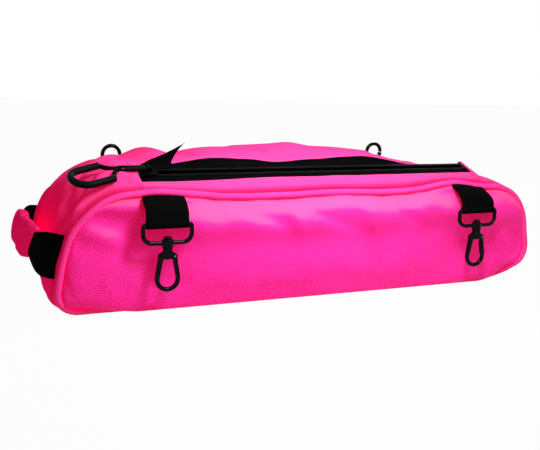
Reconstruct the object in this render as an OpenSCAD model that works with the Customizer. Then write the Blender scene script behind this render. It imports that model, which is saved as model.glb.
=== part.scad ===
// Soft zip-top shoe bag that clips under a larger bag by four webbing tabs.
// Length runs along X, the front panel faces -Y and the base rests on Z = 0.

/* [Bag] */
// Overall length across the base
bag_len = 500; // [400:5:600]
// Depth from the front piping to the rear piping
bag_depth = 184; // [150:2:240]
// Height to the top of the piping
side_h = 106; // [90:1:140]
// Rise of the domed top above the piping
crown_h = 27; // [14:1:36]
// Swell of the stuffed top above its dome, behind the zip
swell_h = 5.5; // [0:0.5:8]
// Place of the highest swell along the bag
swell_x = -30; // [-80:5:20]
// Rise of the slack top at the right end
slack_h = 6.4; // [3:0.2:14]
// Place along the bag where the top starts to sink to the right
slump_x = 40; // [0:5:100]
// Width beside the zip over which the slack top falls away
slack_w = 28; // [16:1:40]
// Outward bulge of the two end panels
end_bulge = 3; // [0:1:12]
// Bottom corner radius of the front and back panels
base_r = 20; // [12:1:30]
// Top corner radius of the front and back panels
top_r = 52; // [36:1:66]
// How far each top corner leans in
side_lean = 6; // [0:1:20]
// Thickness of the padded panels
wall = 3; // [2:0.5:5]
// Diameter of the corded piping
piping_d = 6; // [4:0.5:8]

/* [Zip] */
// Distance of the zip from the middle of the top, towards the front
zip_off = 58; // [20:1:60]
// Length of the zip panel between its end seams
zip_panel_len = 360; // [280:2:370]
// Width of the slit between the two rows of teeth
slit_w = 7; // [6:0.5:12]
// Width of each zip tape beyond its teeth
tape_w = 16; // [12:1:20]
// Width of tape hidden under each top strip
tape_lap = 4; // [2:0.5:6]
// Thickness of the tape
tape_t = 0.8; // [0.5:0.1:1.2]
// Thickness of the top strips
strip_t = 2; // [1.5:0.25:3]
// Width of a row of teeth
coil_w = 2.2; // [1.5:0.1:3]
// Height of a row of teeth above the tape
coil_h = 1.5; // [1:0.1:2.5]
// Length of the turned-up tape flap along the tape
flap_len = 34; // [20:1:50]
// Height of the flap's tip above the tape
flap_h = 17; // [8:1:24]

/* [Zip slider] */
// Length of the slider
slider_len = 14; // [10:0.5:20]
// Thickness of the slider's plates
plate_t = 1.5; // [1:0.1:2.5]
// Gap between the slider and what it runs over
slide_gap = 0.4; // [0.3:0.05:0.8]
// Diameter of the pull's pin
pull_pin_d = 1.8; // [1.2:0.1:2.6]
// Length of the pull tab
tab_len = 27; // [14:1:30]
// Thickness of the pull tab
tab_t = 1.8; // [1.2:0.1:2.6]
// Diameter of the pull cord
cord_d = 3; // [2:0.25:4]
// Length of the pull cord
cord_len = 14; // [10:1:25]
// Turn of the cord and grip towards the front of the bag
loop_turn = 24; // [0:1:30]
// Diameter of the moulded pull grip
grip_d = 6.5; // [5:0.5:9]
// Spacing of the pull grip's two arms
grip_w = 25; // [18:1:32]
// Length of the pull grip's arms
grip_len = 22; // [14:1:30]

/* [Grab handle] */
// Width of the webbing
web_w = 38; // [25:1:50]
// Thickness of the handle webbing
web_t = 2.4; // [1.6:0.2:4]
// How far the handle stands out from the end
handle_out = 32; // [26:1:60]
// Height of the middle of the handle
handle_z = 52; // [44:1:58]
// Length of the padded grip
pad_len = 102; // [60:2:110]
// Thickness of the padded grip
pad_t = 11; // [8:1:16]

/* [Clip tabs] */
// Distance of each tab from the middle of the bag
tab_x = 164; // [120:2:165]
// Thickness of one layer of tab webbing
tab_web_t = 1.6; // [1:0.1:2.2]
// Drop of the front hook pivots below the piping top
front_drop = 26; // [22:1:36]
// Drop of the rear hook pivots below the piping top
rear_drop = 33; // [24:1:40]
// Distance of the hook pivots beyond the piping
pivot_out = 15; // [14:0.5:22]
// Lean of the folded-up rear hooks over the bag
rear_lean = 5; // [1:1:10]

/* [Snap hooks] */
// Wire diameter of the webbing ring
ring_wire = 4; // [3:0.25:5]
// Play between the webbing and the ring's two arms
ring_play = 1.6; // [1:0.1:3]
// Distance from the ring's bar to its crossbar
ring_h = 16; // [14:0.5:20]
// Diameter of the swivel boss
boss_d = 9.5; // [8:0.5:12]
// Height of the swivel boss
boss_h = 8; // [6:0.5:10]
// Diameter of the swivel post
post_d = 4.2; // [3:0.2:5]
// Radial running clearance of every pin
run_fit = 0.06; // [0.03:0.01:0.09]
// Gap between faces that turn past each other
turn_gap = 0.35; // [0.3:0.05:0.6]
// Thickness of the hook's loop
hook_wire = 4.4; // [3.6:0.2:5.4]
// Radius of the middle line of the hook's loop
hook_r = 9.4; // [9:0.2:12]
// Distance from the ring's bar to the middle of the loop
hook_drop = 48; // [46:0.5:54]
// Diameter of the gate pin
gate_pin_d = 1.6; // [1.2:0.1:2]
// Thickness of the shank around the gate
shank_t = 6.2; // [5.4:0.2:8]

/* [Hidden] */
pink = [0.96, 0.1, 0.52];
pale_pink = [0.98, 0.25, 0.65];
black = [0.06, 0.06, 0.06];
gunmetal = [0.16, 0.16, 0.17];

// Corner circles of the panel outline and the angle of its leaning side
bx = bag_len / 2 - base_r;
tx = bag_len / 2 - side_lean - top_r;
tz = side_h - top_r;
corner_run = norm([tx - bx, tz - base_r]);
side_a = atan2(tz - base_r, tx - bx) - acos((base_r - top_r) / corner_run);

// Half depth of the gusset between the two pipings, and the piping's own plane
yg = bag_depth / 2 - piping_d;
yp = bag_depth / 2 - piping_d / 2;
face_y = yp + wall / 2;
seam_x = zip_panel_len / 2;

// Zip plane, tangent to the domed top
zip_y = -zip_off;
zip_tilt = atan(2 * crown_h * zip_off / (yg * yg));
half_tape = slit_w / 2 + tape_w;
bare_tape = half_tape - tape_lap;
flat_half = half_tape * cos(zip_tilt);
function smooth(t) = t * t * (3 - 2 * t);
function ease(t) = smooth(min(1, max(0, t)));
function flat_add(y) = pow(min(abs(y - zip_y), flat_half) / yg, 2)
    * max(0, 1 - max(0, abs(y - zip_y) - flat_half) / max(1, yg - zip_off - flat_half));
function crown(y) = 1 - pow(y / yg, 2) + flat_add(y);
function top_z(y) = side_h + crown_h * crown(y);

// Slack top behind the zip: swollen to the left of the middle, sunk towards the right end
flat_y = zip_y + flat_half;
function bump(x) = ease(1 - abs(x - swell_x) / (seam_x + swell_x));
function sink(x) = ease((x - slump_x) / (bx - slump_x));
function slack(x, y) = max(ease((y - flat_y) / slack_w), ease(2 * (x - seam_x) / slack_w));
function rise(x, y) = crown_h + slack(x, y) * (swell_h * bump(x) - (crown_h - slack_h) * sink(x));

zip_z = top_z(zip_y) - (strip_t + tape_t / 2 + 0.05) / cos(zip_tilt);
zip_len = zip_panel_len - 8;

// Slider and pull, in the zip plane
slider_x = -zip_len / 2 + slider_len / 2 + 1.5;
plate_lo = tape_t / 2 + coil_h + slide_gap;
plate_hi = plate_lo + plate_t;
flange_in = slit_w / 2 + coil_w + slide_gap + 0.2;
flange_out = flange_in + 1.4;
knuckle_d = pull_pin_d + 2.4;
pull_w = plate_hi + knuckle_d / 2 + 0.4;
pull_half = 1.7;
bar_d = 2.4;
bar_x = slider_x - tab_len;

// Hook pivots
pivot_y = bag_depth / 2 + pivot_out;
front_z = side_h - front_drop;
rear_z = side_h - rear_drop;
ring_c = web_w / 2 + ring_play / 2 + ring_wire / 2;
loop_r = ring_wire / 2 + run_fit + tab_web_t;
boss_top = -ring_h + boss_h / 2 - 0.5;
boss_bot = boss_top - boss_h;
neck_z = boss_bot - turn_gap;
knuckle_r = gate_pin_d / 2 + 1.9;
gate_x = boss_d / 2 + 1.2;
gate_z = neck_z - 3.2 - knuckle_r - 0.9;
gate_w = hook_wire - 0.6;
slot_half = shank_t / 2 - 1.2;
nose_a = 4;
gate_tip_a = nose_a + turn_gap / hook_r * 180 / PI + 1.6;
arm_a = atan2(gate_z + hook_drop, gate_x) - acos(hook_r / norm([gate_x, gate_z + hook_drop]));

// Outline of the front and back panels, moved in or out by off
module loaf(off) {
    hull() {
        for (s = [-1, 1]) {
            translate([s * bx, base_r]) circle(r = base_r + off, $fn = 64);
            translate([s * tx, tz]) circle(r = top_r + off, $fn = 96);
        }
    }
}

module flat_panel(y0) {
    translate([0, y0 + wall / 2, 0]) rotate([90, 0, 0]) linear_extrude(wall) loaf(-piping_d);
}

module front_panel() color(pink) flat_panel(-yp);

module back_panel() color(pink) flat_panel(yp);

module base_panel() color(pink) translate([-bx, -yg, 0]) cube([2 * bx, 2 * yg, wall]);

// Closed shell between an outer grid of points and an inner one, both given row by row
module shell(over, under, rows, cols) {
    half_pts = rows * cols;
    outer = [for (i = [0:rows - 2]) for (j = [0:cols - 2]) let (a = i * cols + j)
        each [[a, a + cols, a + 1], [a + 1, a + cols, a + cols + 1]]];
    inner = [for (f = outer) [f[2] + half_pts, f[1] + half_pts, f[0] + half_pts]];
    rim = concat([for (j = [0:cols - 1]) j],
        [for (i = [1:rows - 1]) i * cols + cols - 1],
        [for (j = [1:cols - 1]) half_pts - 1 - j],
        [for (i = [1:rows - 2]) (rows - 1 - i) * cols]);
    n = len(rim);
    edge = [for (k = [0:n - 1]) let (p = rim[k], q = rim[(k + 1) % n])
        each [[p, q, q + half_pts], [p, q + half_pts, p + half_pts]]];
    polyhedron(concat(over, under), concat(outer, inner, edge));
}

// Stations round one end: centre x, centre z, radius, angle, own bulge, share of the top's rise
function low_st(i, n) = let (a = -90 + (side_a + 90) * i / n)
    [bx, base_r, base_r, a, end_bulge * smooth(i / n), 0];
function top_st(i, n) = let (a = side_a + (90 - side_a) * i / n)
    [tx, tz, top_r, a, end_bulge, smooth(i / n)];
stations = concat([for (i = [0:5]) low_st(i, 5)], [for (i = [0:9]) top_st(i, 9)],
    [[seam_x, tz, top_r, 90, end_bulge, 1]]);
end_cols = 18;
function st_point(st, y, off, side) = let (x = side * (st[0] + st[2] * cos(st[3])),
    r = st[2] + off + (st[4] + (rise(x, y) - st[4]) * st[5]) * crown(y))
    [st[0] + r * cos(st[3]), y, st[1] + r * sin(st[3])];
function end_grid(off, side) = [for (st = stations) for (j = [0:end_cols - 1])
    st_point(st, -yg + 2 * yg * j / (end_cols - 1), off, side)];

module end_panel(side) shell(end_grid(0, side), end_grid(-wall, side), len(stations), end_cols);

module right_end_panel() color(pale_pink) end_panel(1);

module left_end_panel() color(pale_pink) mirror([1, 0, 0]) end_panel(-1);

// The two strips beside the zip lie flat along it and then follow the top to their seams
strip_drop = strip_t / cos(zip_tilt);
module front_zip_strip() color(pale_pink) {
    n = 5;
    ys = concat([zip_y - bare_tape * cos(zip_tilt)],
        [for (i = [0:n]) zip_y - flat_half + (zip_off + flat_half - yg) * i / n]);
    rim = concat([for (y = ys) [y, top_z(y)]],
        [for (i = [n + 1:-1:0]) [ys[i], top_z(ys[i]) - strip_drop]]);
    translate([-seam_x, 0, 0]) rotate([90, 0, 90]) linear_extrude(2 * seam_x) polygon(rim);
}

module rear_zip_strip() color(pale_pink) {
    n = 12;
    across_n = 18;
    ys = concat([zip_y + bare_tape * cos(zip_tilt)], [for (i = [0:n]) flat_y + (yg - flat_y) * i / n]);
    xs = [for (i = [0:across_n]) seam_x - 2 * seam_x * i / across_n];
    over = [for (x = xs) for (y = ys) [x, y, side_h + rise(x, y) * crown(y)]];
    shell(over, [for (p = over) p - [0, 0, strip_drop]], len(xs), len(ys));
}

module rod(p, q, d) {
    v = q - p;
    translate(p) rotate([0, acos(v[2] / norm(v)), atan2(v[1], v[0])])
        cylinder(d = d, h = norm(v), $fn = 16);
}

// Arc of round bar in the XZ plane about a centre, from angle a0 to a1
module bar_arc(cx, cz, r, a0, a1, d, fn) {
    translate([cx, 0, cz]) rotate([90, 0, 0]) rotate([0, 0, a0])
        rotate_extrude(angle = a1 - a0, $fn = fn) translate([r, 0]) circle(d = d, $fn = 16);
}

function arc_pt(cx, cz, r, a) = [cx + r * cos(a), 0, cz + r * sin(a)];

// Closed tube that follows the panel outline
pipe_pts = 14;
half_line = concat([for (i = [0:5]) low_st(i, 5)], [for (i = [0:9]) top_st(i, 9)]);
pipe_line = concat([for (st = half_line) [st[0], st[1], st[2], st[3]]],
    [for (i = [len(half_line) - 1:-1:0]) let (st = half_line[i]) [-st[0], st[1], st[2], 180 - st[3]]]);
function pipe_point(st, k) = let (a = 360 * k / pipe_pts,
    r = st[2] - piping_d / 2 + piping_d / 2 * cos(a))
    [st[0] + r * cos(st[3]), piping_d / 2 * sin(a), st[1] + r * sin(st[3])];

module piping(y) {
    n = len(pipe_line);
    translate([0, y, 0]) polyhedron(
        [for (st = pipe_line) for (k = [0:pipe_pts - 1]) pipe_point(st, k)],
        [for (i = [0:n - 1]) for (k = [0:pipe_pts - 1]) let (k1 = (k + 1) % pipe_pts,
            a = i * pipe_pts, b = ((i + 1) % n) * pipe_pts)
            each [[a + k, a + k1, b + k], [a + k1, b + k1, b + k]]]);
}

module front_piping() color(pale_pink) piping(-yp);

module rear_piping() color(pale_pink) piping(yp);

// Places children in the zip plane: X along the zip, Y across it, Z out of it
module on_zip() {
    translate([0, zip_y, zip_z]) rotate([zip_tilt, 0, 0]) children();
}

module tape() {
    translate([-seam_x, slit_w / 2 + 0.5, -tape_t / 2]) cube([2 * seam_x, tape_w - 0.5, tape_t]);
}

module coil() {
    w = coil_w;
    prof = [[0, 0], [w, 0], [w, coil_h * 0.6], [w * 0.75, coil_h], [w * 0.25, coil_h], [0, coil_h * 0.6]];
    translate([-zip_len / 2, slit_w / 2, tape_t / 2]) rotate([90, 0, 90])
        linear_extrude(zip_len) polygon(prof);
}

module zip_tape_front() color(black) on_zip() mirror([0, 1, 0]) tape();

module zip_tape_rear() color(black) on_zip() tape();

module zip_coil_front() color(black) on_zip() mirror([0, 1, 0]) coil();

module zip_coil_rear() color(black) on_zip() coil();

// Loose end of the rear tape, turned up beside the zip
module zip_tape_flap() color(black) on_zip() {
    x0 = -seam_x + 2;
    y0 = bare_tape + 1.2;
    z0 = tape_t / 2 + strip_t + 0.3;
    lean = flap_h * 0.35;
    rise = [lean, flap_h];
    a = [x0, y0, z0];
    b = [x0 + flap_len, y0, z0];
    c = [x0 + flap_len * 1.45, y0 + rise[0], z0 + rise[1]];
    back = [0, 1, 0];
    polyhedron([a, b, c, a + back, b + back, c + back],
        [[0, 1, 2], [5, 4, 3], [0, 3, 4], [0, 4, 1], [1, 4, 5], [1, 5, 2], [2, 5, 3], [2, 3, 0]]);
}

module zip_stop(s) {
    translate([s * (zip_len / 2 + 2), 0, tape_t / 2 + 0.8]) cube([4, slit_w + 4, 1.6], center = true);
}

module zip_stop_left() color(gunmetal) on_zip() zip_stop(-1);

module zip_stop_right() color(gunmetal) on_zip() zip_stop(1);

module plate(z0, t, half) {
    translate([slider_x, 0, z0]) linear_extrude(t) offset(r = 2, $fn = 32)
        square([slider_len - 4, 2 * half - 4], center = true);
}

module across(x, z, d, half, fn = 32) {
    translate([x, 0, z]) rotate([90, 0, 0]) cylinder(d = d, h = 2 * half, center = true, $fn = fn);
}

module zip_slider() color(gunmetal) on_zip() {
    low = -tape_t / 2 - slide_gap;
    lug_in = pull_half + 0.2;
    lug_t = 1.5;
    plate(plate_lo, plate_t, flange_out);
    plate(low - plate_t, plate_t, flange_out);
    translate([slider_x - 4, -slit_w / 2 + 0.9, low]) cube([8, slit_w - 1.8, plate_lo - low]);
    for (s = [-1, 1]) {
        translate([slider_x, s * (flange_in + flange_out) / 2, (plate_lo + tape_t / 2 + slide_gap) / 2])
            cube([slider_len - 5, flange_out - flange_in, plate_lo - tape_t / 2 - slide_gap],
                center = true);
        difference() {
            translate([slider_x, s * (lug_in + lug_t / 2), 0]) {
                across(0, pull_w, knuckle_d, lug_t / 2);
                translate([0, 0, (plate_hi + pull_w) / 2])
                    cube([knuckle_d, lug_t, pull_w - plate_hi], center = true);
            }
            across(slider_x, pull_w, pull_pin_d, 8);
        }
    }
}

module zip_pull_pin() color(gunmetal) on_zip() across(slider_x, pull_w, pull_pin_d, pull_half + 1.7);

module zip_pull_tab() color(gunmetal) on_zip() {
    shoulder = slider_x - knuckle_d / 2 - 1.2;
    window = cord_d + 1.6;
    wide = 4;
    difference() {
        union() {
            across(slider_x, pull_w, knuckle_d, pull_half);
            translate([shoulder - 0.5, -pull_half, pull_w - tab_t / 2])
                cube([slider_x - shoulder + 0.5, 2 * pull_half, tab_t]);
            translate([bar_x, -wide, pull_w - tab_t / 2]) cube([shoulder - bar_x, 2 * wide, tab_t]);
            across(bar_x, pull_w, bar_d, wide);
        }
        across(slider_x, pull_w, pull_pin_d + 2 * run_fit, 6);
        difference() {
            translate([bar_x - 3, -wide + 1.2, pull_w - 3]) cube([window + 3, 2 * wide - 2.4, 6]);
            across(bar_x, pull_w, bar_d, wide + 1);
        }
    }
}

// Places children round the pull tab's end bar, and also turned to the front
module on_bar() on_zip() translate([bar_x, 0, pull_w]) children();

module on_loop() on_bar() rotate([0, 0, loop_turn]) children();

module zip_pull_cord() color(black) {
    eye_d = bar_d + 2 * run_fit;
    difference() {
        union() {
            on_bar() across(0, 0, eye_d + cord_d * 0.8, 2);
            for (s = [-1, 1])
                hull() {
                    on_bar() translate([-eye_d / 2 - 0.6, s * 0.8, 0]) sphere(d = cord_d * 0.8, $fn = 16);
                    on_loop() translate([-cord_len, s * grip_w / 2, 0]) rotate([0, 90, 0])
                        cylinder(d = cord_d, h = 0.8, $fn = 16);
                }
        }
        on_bar() across(0, 0, eye_d, 6);
    }
}

module zip_pull_grip() color(black) on_loop() translate([-cord_len, 0, 0]) {
    for (s = [-1, 1])
        rod([0, s * grip_w / 2, 0], [-grip_len, s * grip_w / 2, 0], grip_d);
    translate([-grip_len, 0, 0]) rotate([0, 0, 90])
        rotate_extrude(angle = 180, $fn = 48) translate([grip_w / 2, 0]) circle(d = grip_d, $fn = 16);
}

// Places children on the left end: X outwards, Y across the bag, Z up the leaning side
side_pt = arc_pt(bx, base_r, base_r, side_a);
handle_x = side_pt[0] - (handle_z - side_pt[2]) * tan(side_a);
module on_left_end() {
    translate([-handle_x, 0, handle_z]) mirror([1, 0, 0]) rotate([0, -side_a, 0]) children();
}

module strap_ring(half_h, grow) {
    ye = yg - 0.2;
    linear_extrude(2 * half_h, center = true) intersection() {
        difference() {
            scale([handle_out + web_t / 2 + grow, ye + grow]) circle(r = 1, $fn = 96);
            scale([handle_out - web_t / 2 - grow, ye - web_t - grow]) circle(r = 1, $fn = 96);
        }
        translate([0.25, -2 * ye]) square([4 * handle_out, 4 * ye]);
    }
}

module handle_webbing() color(black) on_left_end() strap_ring(web_w / 2, 0);

// Padded sleeve swept along the middle of the strap, crowned towards its two ends
pad_rows = 12;
pad_pts = 20;
function strap_mid(y) = let (ye = yg - 0.2 - web_t / 2) handle_out * sqrt(1 - pow(y / ye, 2));
function strap_turn(y) = let (ye = yg - 0.2 - web_t / 2)
    atan2(handle_out * y, ye * ye * sqrt(1 - pow(y / ye, 2)));
function pad_point(i, k) = let (y = -pad_len / 2 + pad_len * i / pad_rows, n = strap_turn(y),
    puff = 0.72 + 0.28 * sqrt(max(0, 1 - pow(2 * i / pad_rows - 1, 4))), a = 360 * k / pad_pts,
    c = sign(cos(a)) * sqrt(abs(cos(a))), s = sign(sin(a)) * sqrt(abs(sin(a))),
    d = pad_t / 2 * puff * c)
    [strap_mid(y) + d * cos(n), y + d * sin(n), (web_w / 2 + 3) * s * (0.5 + 0.5 * puff)];

module handle_grip() color(pale_pink) on_left_end() difference() {
    polyhedron([for (i = [0:pad_rows]) for (k = [0:pad_pts - 1]) pad_point(i, k)],
        concat([[for (k = [0:pad_pts - 1]) k]],
            [for (i = [0:pad_rows - 1]) for (k = [0:pad_pts - 1]) let (a = i * pad_pts + k,
                b = i * pad_pts + (k + 1) % pad_pts)
                each [[a, a + pad_pts, b], [b, a + pad_pts, b + pad_pts]]],
            [[for (k = [pad_pts - 1:-1:0]) pad_rows * pad_pts + k]]));
    strap_ring(web_w / 2, 0);
}

// Side view of a doubled webbing tab, as outward distance and height, with its loop round the ring's bar
function bez(p, t) = pow(1 - t, 3) * p[0] + 3 * t * pow(1 - t, 2) * p[1]
    + 3 * t * t * (1 - t) * p[2] + pow(t, 3) * p[3];
function bez_n(p, t) = let (d = 3 * pow(1 - t, 2) * (p[1] - p[0]) + 6 * t * (1 - t) * (p[2] - p[1])
    + 3 * t * t * (p[3] - p[2])) [d[1], -d[0]] / norm(d);
module tab_side(pz, folded) {
    top = [face_y + tab_web_t + 0.05, side_h - piping_d - 0.6];
    end = [pivot_y, pz] + (folded ? [-0.75, 0.5] : [0, 0.7]) * loop_r;
    fall = top[1] - end[1];
    line = folded ? [top, top + [0.3, -fall * 0.35], end + [-7, 5], end]
        : [top, top + [6, -3], end + [0, fall * 0.7], end];
    n = 10;
    difference() {
        union() {
            polygon(concat([for (i = [0:n]) bez(line, i / n) + tab_web_t * bez_n(line, i / n)],
                [for (i = [n:-1:0]) bez(line, i / n) - tab_web_t * bez_n(line, i / n)]));
            translate([pivot_y, pz]) circle(r = loop_r, $fn = 32);
        }
        translate([pivot_y, pz]) circle(r = ring_wire / 2 + run_fit, $fn = 48);
    }
}

module rear_tab(s) {
    translate([s * tab_x - web_w / 2, 0, 0]) rotate([90, 0, 90]) linear_extrude(web_w) tab_side(rear_z, true);
}

module front_tab(s) {
    mirror([0, 1, 0]) translate([s * tab_x - web_w / 2, 0, 0]) rotate([90, 0, 90])
        linear_extrude(web_w) tab_side(front_z, false);
}

module tab_front_left() color(black) front_tab(-1);

module tab_front_right() color(black) front_tab(1);

module tab_rear_left() color(black) rear_tab(-1);

module tab_rear_right() color(black) rear_tab(1);

// Ring, hook and gate hang from the middle of the ring's bar towards -Z
module ring() {
    rt = ring_c - web_w / 2 - 0.2;
    rb = ring_wire * 2;
    difference() {
        union() {
            for (m = [0, 1]) mirror([m, 0, 0]) {
                bar_arc(ring_c - rt, -rt, rt, 0, 90, ring_wire, 32);
                bar_arc(ring_c - rb, -ring_h + rb, rb, -90, 0, ring_wire, 40);
                rod([ring_c, 0, -ring_h + rb], [ring_c, 0, -rt], ring_wire);
            }
            rod([-ring_c + rt, 0, 0], [ring_c - rt, 0, 0], ring_wire);
            rod([-ring_c + rb, 0, -ring_h], [ring_c - rb, 0, -ring_h], ring_wire);
            translate([0, 0, boss_bot]) cylinder(d = boss_d, h = boss_h, $fn = 32);
        }
        translate([0, 0, boss_bot - 1]) cylinder(d = post_d + 2 * run_fit, h = boss_h + 2, $fn = 32);
    }
}

// Shank corner round one of the two arms, with its edges broken
module shank_corner(x) {
    across(x, gate_z, 2 * knuckle_r, shank_t / 2 - 0.7);
    across(x, gate_z, 2 * knuckle_r - 1.4, shank_t / 2);
}

module hook() {
    arm = arc_pt(0, -hook_drop, hook_r, 180 - arm_a);
    head_z = boss_top + turn_gap;
    difference() {
        union() {
            translate([0, 0, neck_z - 1]) cylinder(d = post_d, h = head_z - neck_z + 2, $fn = 32);
            translate([0, 0, head_z]) cylinder(d1 = post_d + 3.2, d2 = post_d + 1.6, h = 2, $fn = 32);
            translate([0, 0, neck_z - 3]) cylinder(d = boss_d - 1, h = 3, $fn = 32);
            hull() {
                translate([0, 0, neck_z - 3.2]) cylinder(d = boss_d - 1, h = 0.4, $fn = 32);
                shank_corner(-gate_x);
                shank_corner(gate_x);
            }
            hull() {
                across(-gate_x, gate_z, hook_wire, shank_t / 2 - 0.9);
                translate(arm) sphere(d = hook_wire + 0.3, $fn = 24);
            }
            bar_arc(0, -hook_drop, hook_r, 180 - arm_a, 360 + nose_a, hook_wire, 48);
        }
        translate([gate_x - knuckle_r - 0.9, -slot_half, gate_z - 9])
            cube([16, 2 * slot_half, 9 + knuckle_r + 0.8]);
        across(gate_x, gate_z, gate_pin_d, shank_t);
    }
}

// The gate closes the right side of the teardrop, from its knuckle in the shank to the nose
module gate() {
    t0 = -slot_half + 0.15;
    t1 = slot_half - 1.3;
    tip = arc_pt(0, -hook_drop, hook_r, gate_tip_a);
    run = [tip[0] - gate_x, tip[2] - gate_z];
    mid = [gate_x, gate_z] + run / norm(run) * (knuckle_r + 3.6);
    half = hook_wire / 2 - 0.2;
    difference() {
        union() {
            translate([0, (t0 + t1) / 2, 0]) hull() {
                across(gate_x, gate_z, 2 * knuckle_r - 0.4, (t1 - t0) / 2);
                across(mid[0], mid[1], gate_w, (t1 - t0) / 2);
            }
            hull() {
                across(mid[0], mid[1], gate_w, half);
                translate(tip) rotate([0, -gate_tip_a, 0]) cube([gate_w, 2 * half, 0.3], center = true);
            }
        }
        across(gate_x, gate_z, gate_pin_d + 2 * run_fit, shank_t);
    }
}

module gate_pin() across(gate_x, gate_z, gate_pin_d, shank_t / 2);

// Small torsion coil beside the gate's knuckle
module gate_spring() {
    translate([gate_x, slot_half - 0.1, gate_z]) rotate([90, 0, 0]) difference() {
        cylinder(d = gate_pin_d + 2, h = 0.85, $fn = 24);
        translate([0, 0, -1]) cylinder(d = gate_pin_d + 0.2, h = 3, $fn = 24);
    }
}

module front_at(s) translate([s * tab_x, -pivot_y, front_z]) children();

module rear_at(s) translate([s * tab_x, pivot_y, rear_z]) rotate([180 + rear_lean, 0, 0]) children();

module ring_front_left() color(gunmetal) front_at(-1) ring();

module hook_front_left() color(gunmetal) front_at(-1) hook();

module gate_front_left() color(gunmetal) front_at(-1) gate();

module gate_pin_front_left() color(gunmetal) front_at(-1) gate_pin();

module gate_spring_front_left() color(gunmetal) front_at(-1) gate_spring();

module ring_front_right() color(gunmetal) front_at(1) ring();

module hook_front_right() color(gunmetal) front_at(1) hook();

module gate_front_right() color(gunmetal) front_at(1) gate();

module gate_pin_front_right() color(gunmetal) front_at(1) gate_pin();

module gate_spring_front_right() color(gunmetal) front_at(1) gate_spring();

module ring_rear_left() color(gunmetal) rear_at(-1) ring();

module hook_rear_left() color(gunmetal) rear_at(-1) hook();

module gate_rear_left() color(gunmetal) rear_at(-1) gate();

module gate_pin_rear_left() color(gunmetal) rear_at(-1) gate_pin();

module gate_spring_rear_left() color(gunmetal) rear_at(-1) gate_spring();

module ring_rear_right() color(gunmetal) rear_at(1) ring();

module hook_rear_right() color(gunmetal) rear_at(1) hook();

module gate_rear_right() color(gunmetal) rear_at(1) gate();

module gate_pin_rear_right() color(gunmetal) rear_at(1) gate_pin();

module gate_spring_rear_right() color(gunmetal) rear_at(1) gate_spring();

front_panel();
back_panel();
base_panel();
left_end_panel();
right_end_panel();
front_zip_strip();
rear_zip_strip();
front_piping();
rear_piping();
zip_tape_front();
zip_tape_rear();
zip_tape_flap();
zip_coil_front();
zip_coil_rear();
zip_stop_left();
zip_stop_right();
zip_slider();
zip_pull_pin();
zip_pull_tab();
zip_pull_cord();
zip_pull_grip();
handle_webbing();
handle_grip();
tab_front_left();
tab_front_right();
tab_rear_left();
tab_rear_right();
ring_front_left();
hook_front_left();
gate_front_left();
gate_pin_front_left();
gate_spring_front_left();
ring_front_right();
hook_front_right();
gate_front_right();
gate_pin_front_right();
gate_spring_front_right();
ring_rear_left();
hook_rear_left();
gate_rear_left();
gate_pin_rear_left();
gate_spring_rear_left();
ring_rear_right();
hook_rear_right();
gate_rear_right();
gate_pin_rear_right();
gate_spring_rear_right();
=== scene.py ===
"""Dresses a clip-on shoe bag: sewn fabric, webbing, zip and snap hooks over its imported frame."""

import math

import bpy
from bpy.props import FloatProperty, PointerProperty, StringProperty
from mathutils import Matrix, Vector, noise


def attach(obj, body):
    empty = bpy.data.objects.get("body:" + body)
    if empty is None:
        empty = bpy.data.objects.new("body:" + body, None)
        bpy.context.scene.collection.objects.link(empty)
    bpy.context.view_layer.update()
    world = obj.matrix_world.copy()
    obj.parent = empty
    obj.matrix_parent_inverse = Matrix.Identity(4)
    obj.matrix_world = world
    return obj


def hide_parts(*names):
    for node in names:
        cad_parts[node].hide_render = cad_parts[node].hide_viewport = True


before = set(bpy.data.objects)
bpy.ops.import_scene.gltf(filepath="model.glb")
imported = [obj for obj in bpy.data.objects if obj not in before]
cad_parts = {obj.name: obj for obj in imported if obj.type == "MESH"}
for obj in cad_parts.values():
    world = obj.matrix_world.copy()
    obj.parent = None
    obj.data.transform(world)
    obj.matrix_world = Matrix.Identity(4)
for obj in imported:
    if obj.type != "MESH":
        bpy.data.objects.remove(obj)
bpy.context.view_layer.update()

bl_info = {
    "name": "Clip-on shoe bag",
    "version": (1, 0, 0),
    "blender": (4, 5, 0),
    "location": "View3D > Sidebar > Shoe bag",
    "description": "Sews, zips and hangs a soft shoe bag on its packed frame",
    "category": "Object",
}

MM = 0.001
# Shape of the slack cloth, as knots of (mm along the bag, value). First the droop of the two top seams, in mm
FRONT_SEAM = ((-225, 0), (-190, -1.2), (-170, -2.8), (-150, -1.5), (-130, 0.3), (-110, 2.7), (-80, 3.7), (-40, 3.5),
              (10, 2.6), (60, 4.1), (85, 3.6), (105, 2.0), (120, -0.3), (142, -3.0), (158, -1.8), (175, 1.0),
              (195, 2.0), (225, 0))
REAR_SEAM = ((-225, 0), (-165, -1.5), (-110, 1.5), (0, 3.0), (110, 1.5), (165, -1.5), (225, 0))
# Swell of the top behind the zip in mm, and the share of its crown that slumps away to the right
SWELL = ((-245, -4.0), (-215, -6.0), (-196, -6.5), (-176, -4.5), (-155, 1.6), (-138, -1.6), (-113, 1.2), (-87, 2.2),
         (-60, 2.6), (-17, 4.1), (11, 3.7), (41, 1.6), (71, 0.6), (104, 0.4), (136, 0.4), (182, 0.2), (230, 0.2))
SLUMP = ((50, 0), (71, 0.06), (104, 0.28), (130, 0.6), (155, 0.86), (182, 0.96), (200, 0.98), (230, 1.0))
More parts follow.
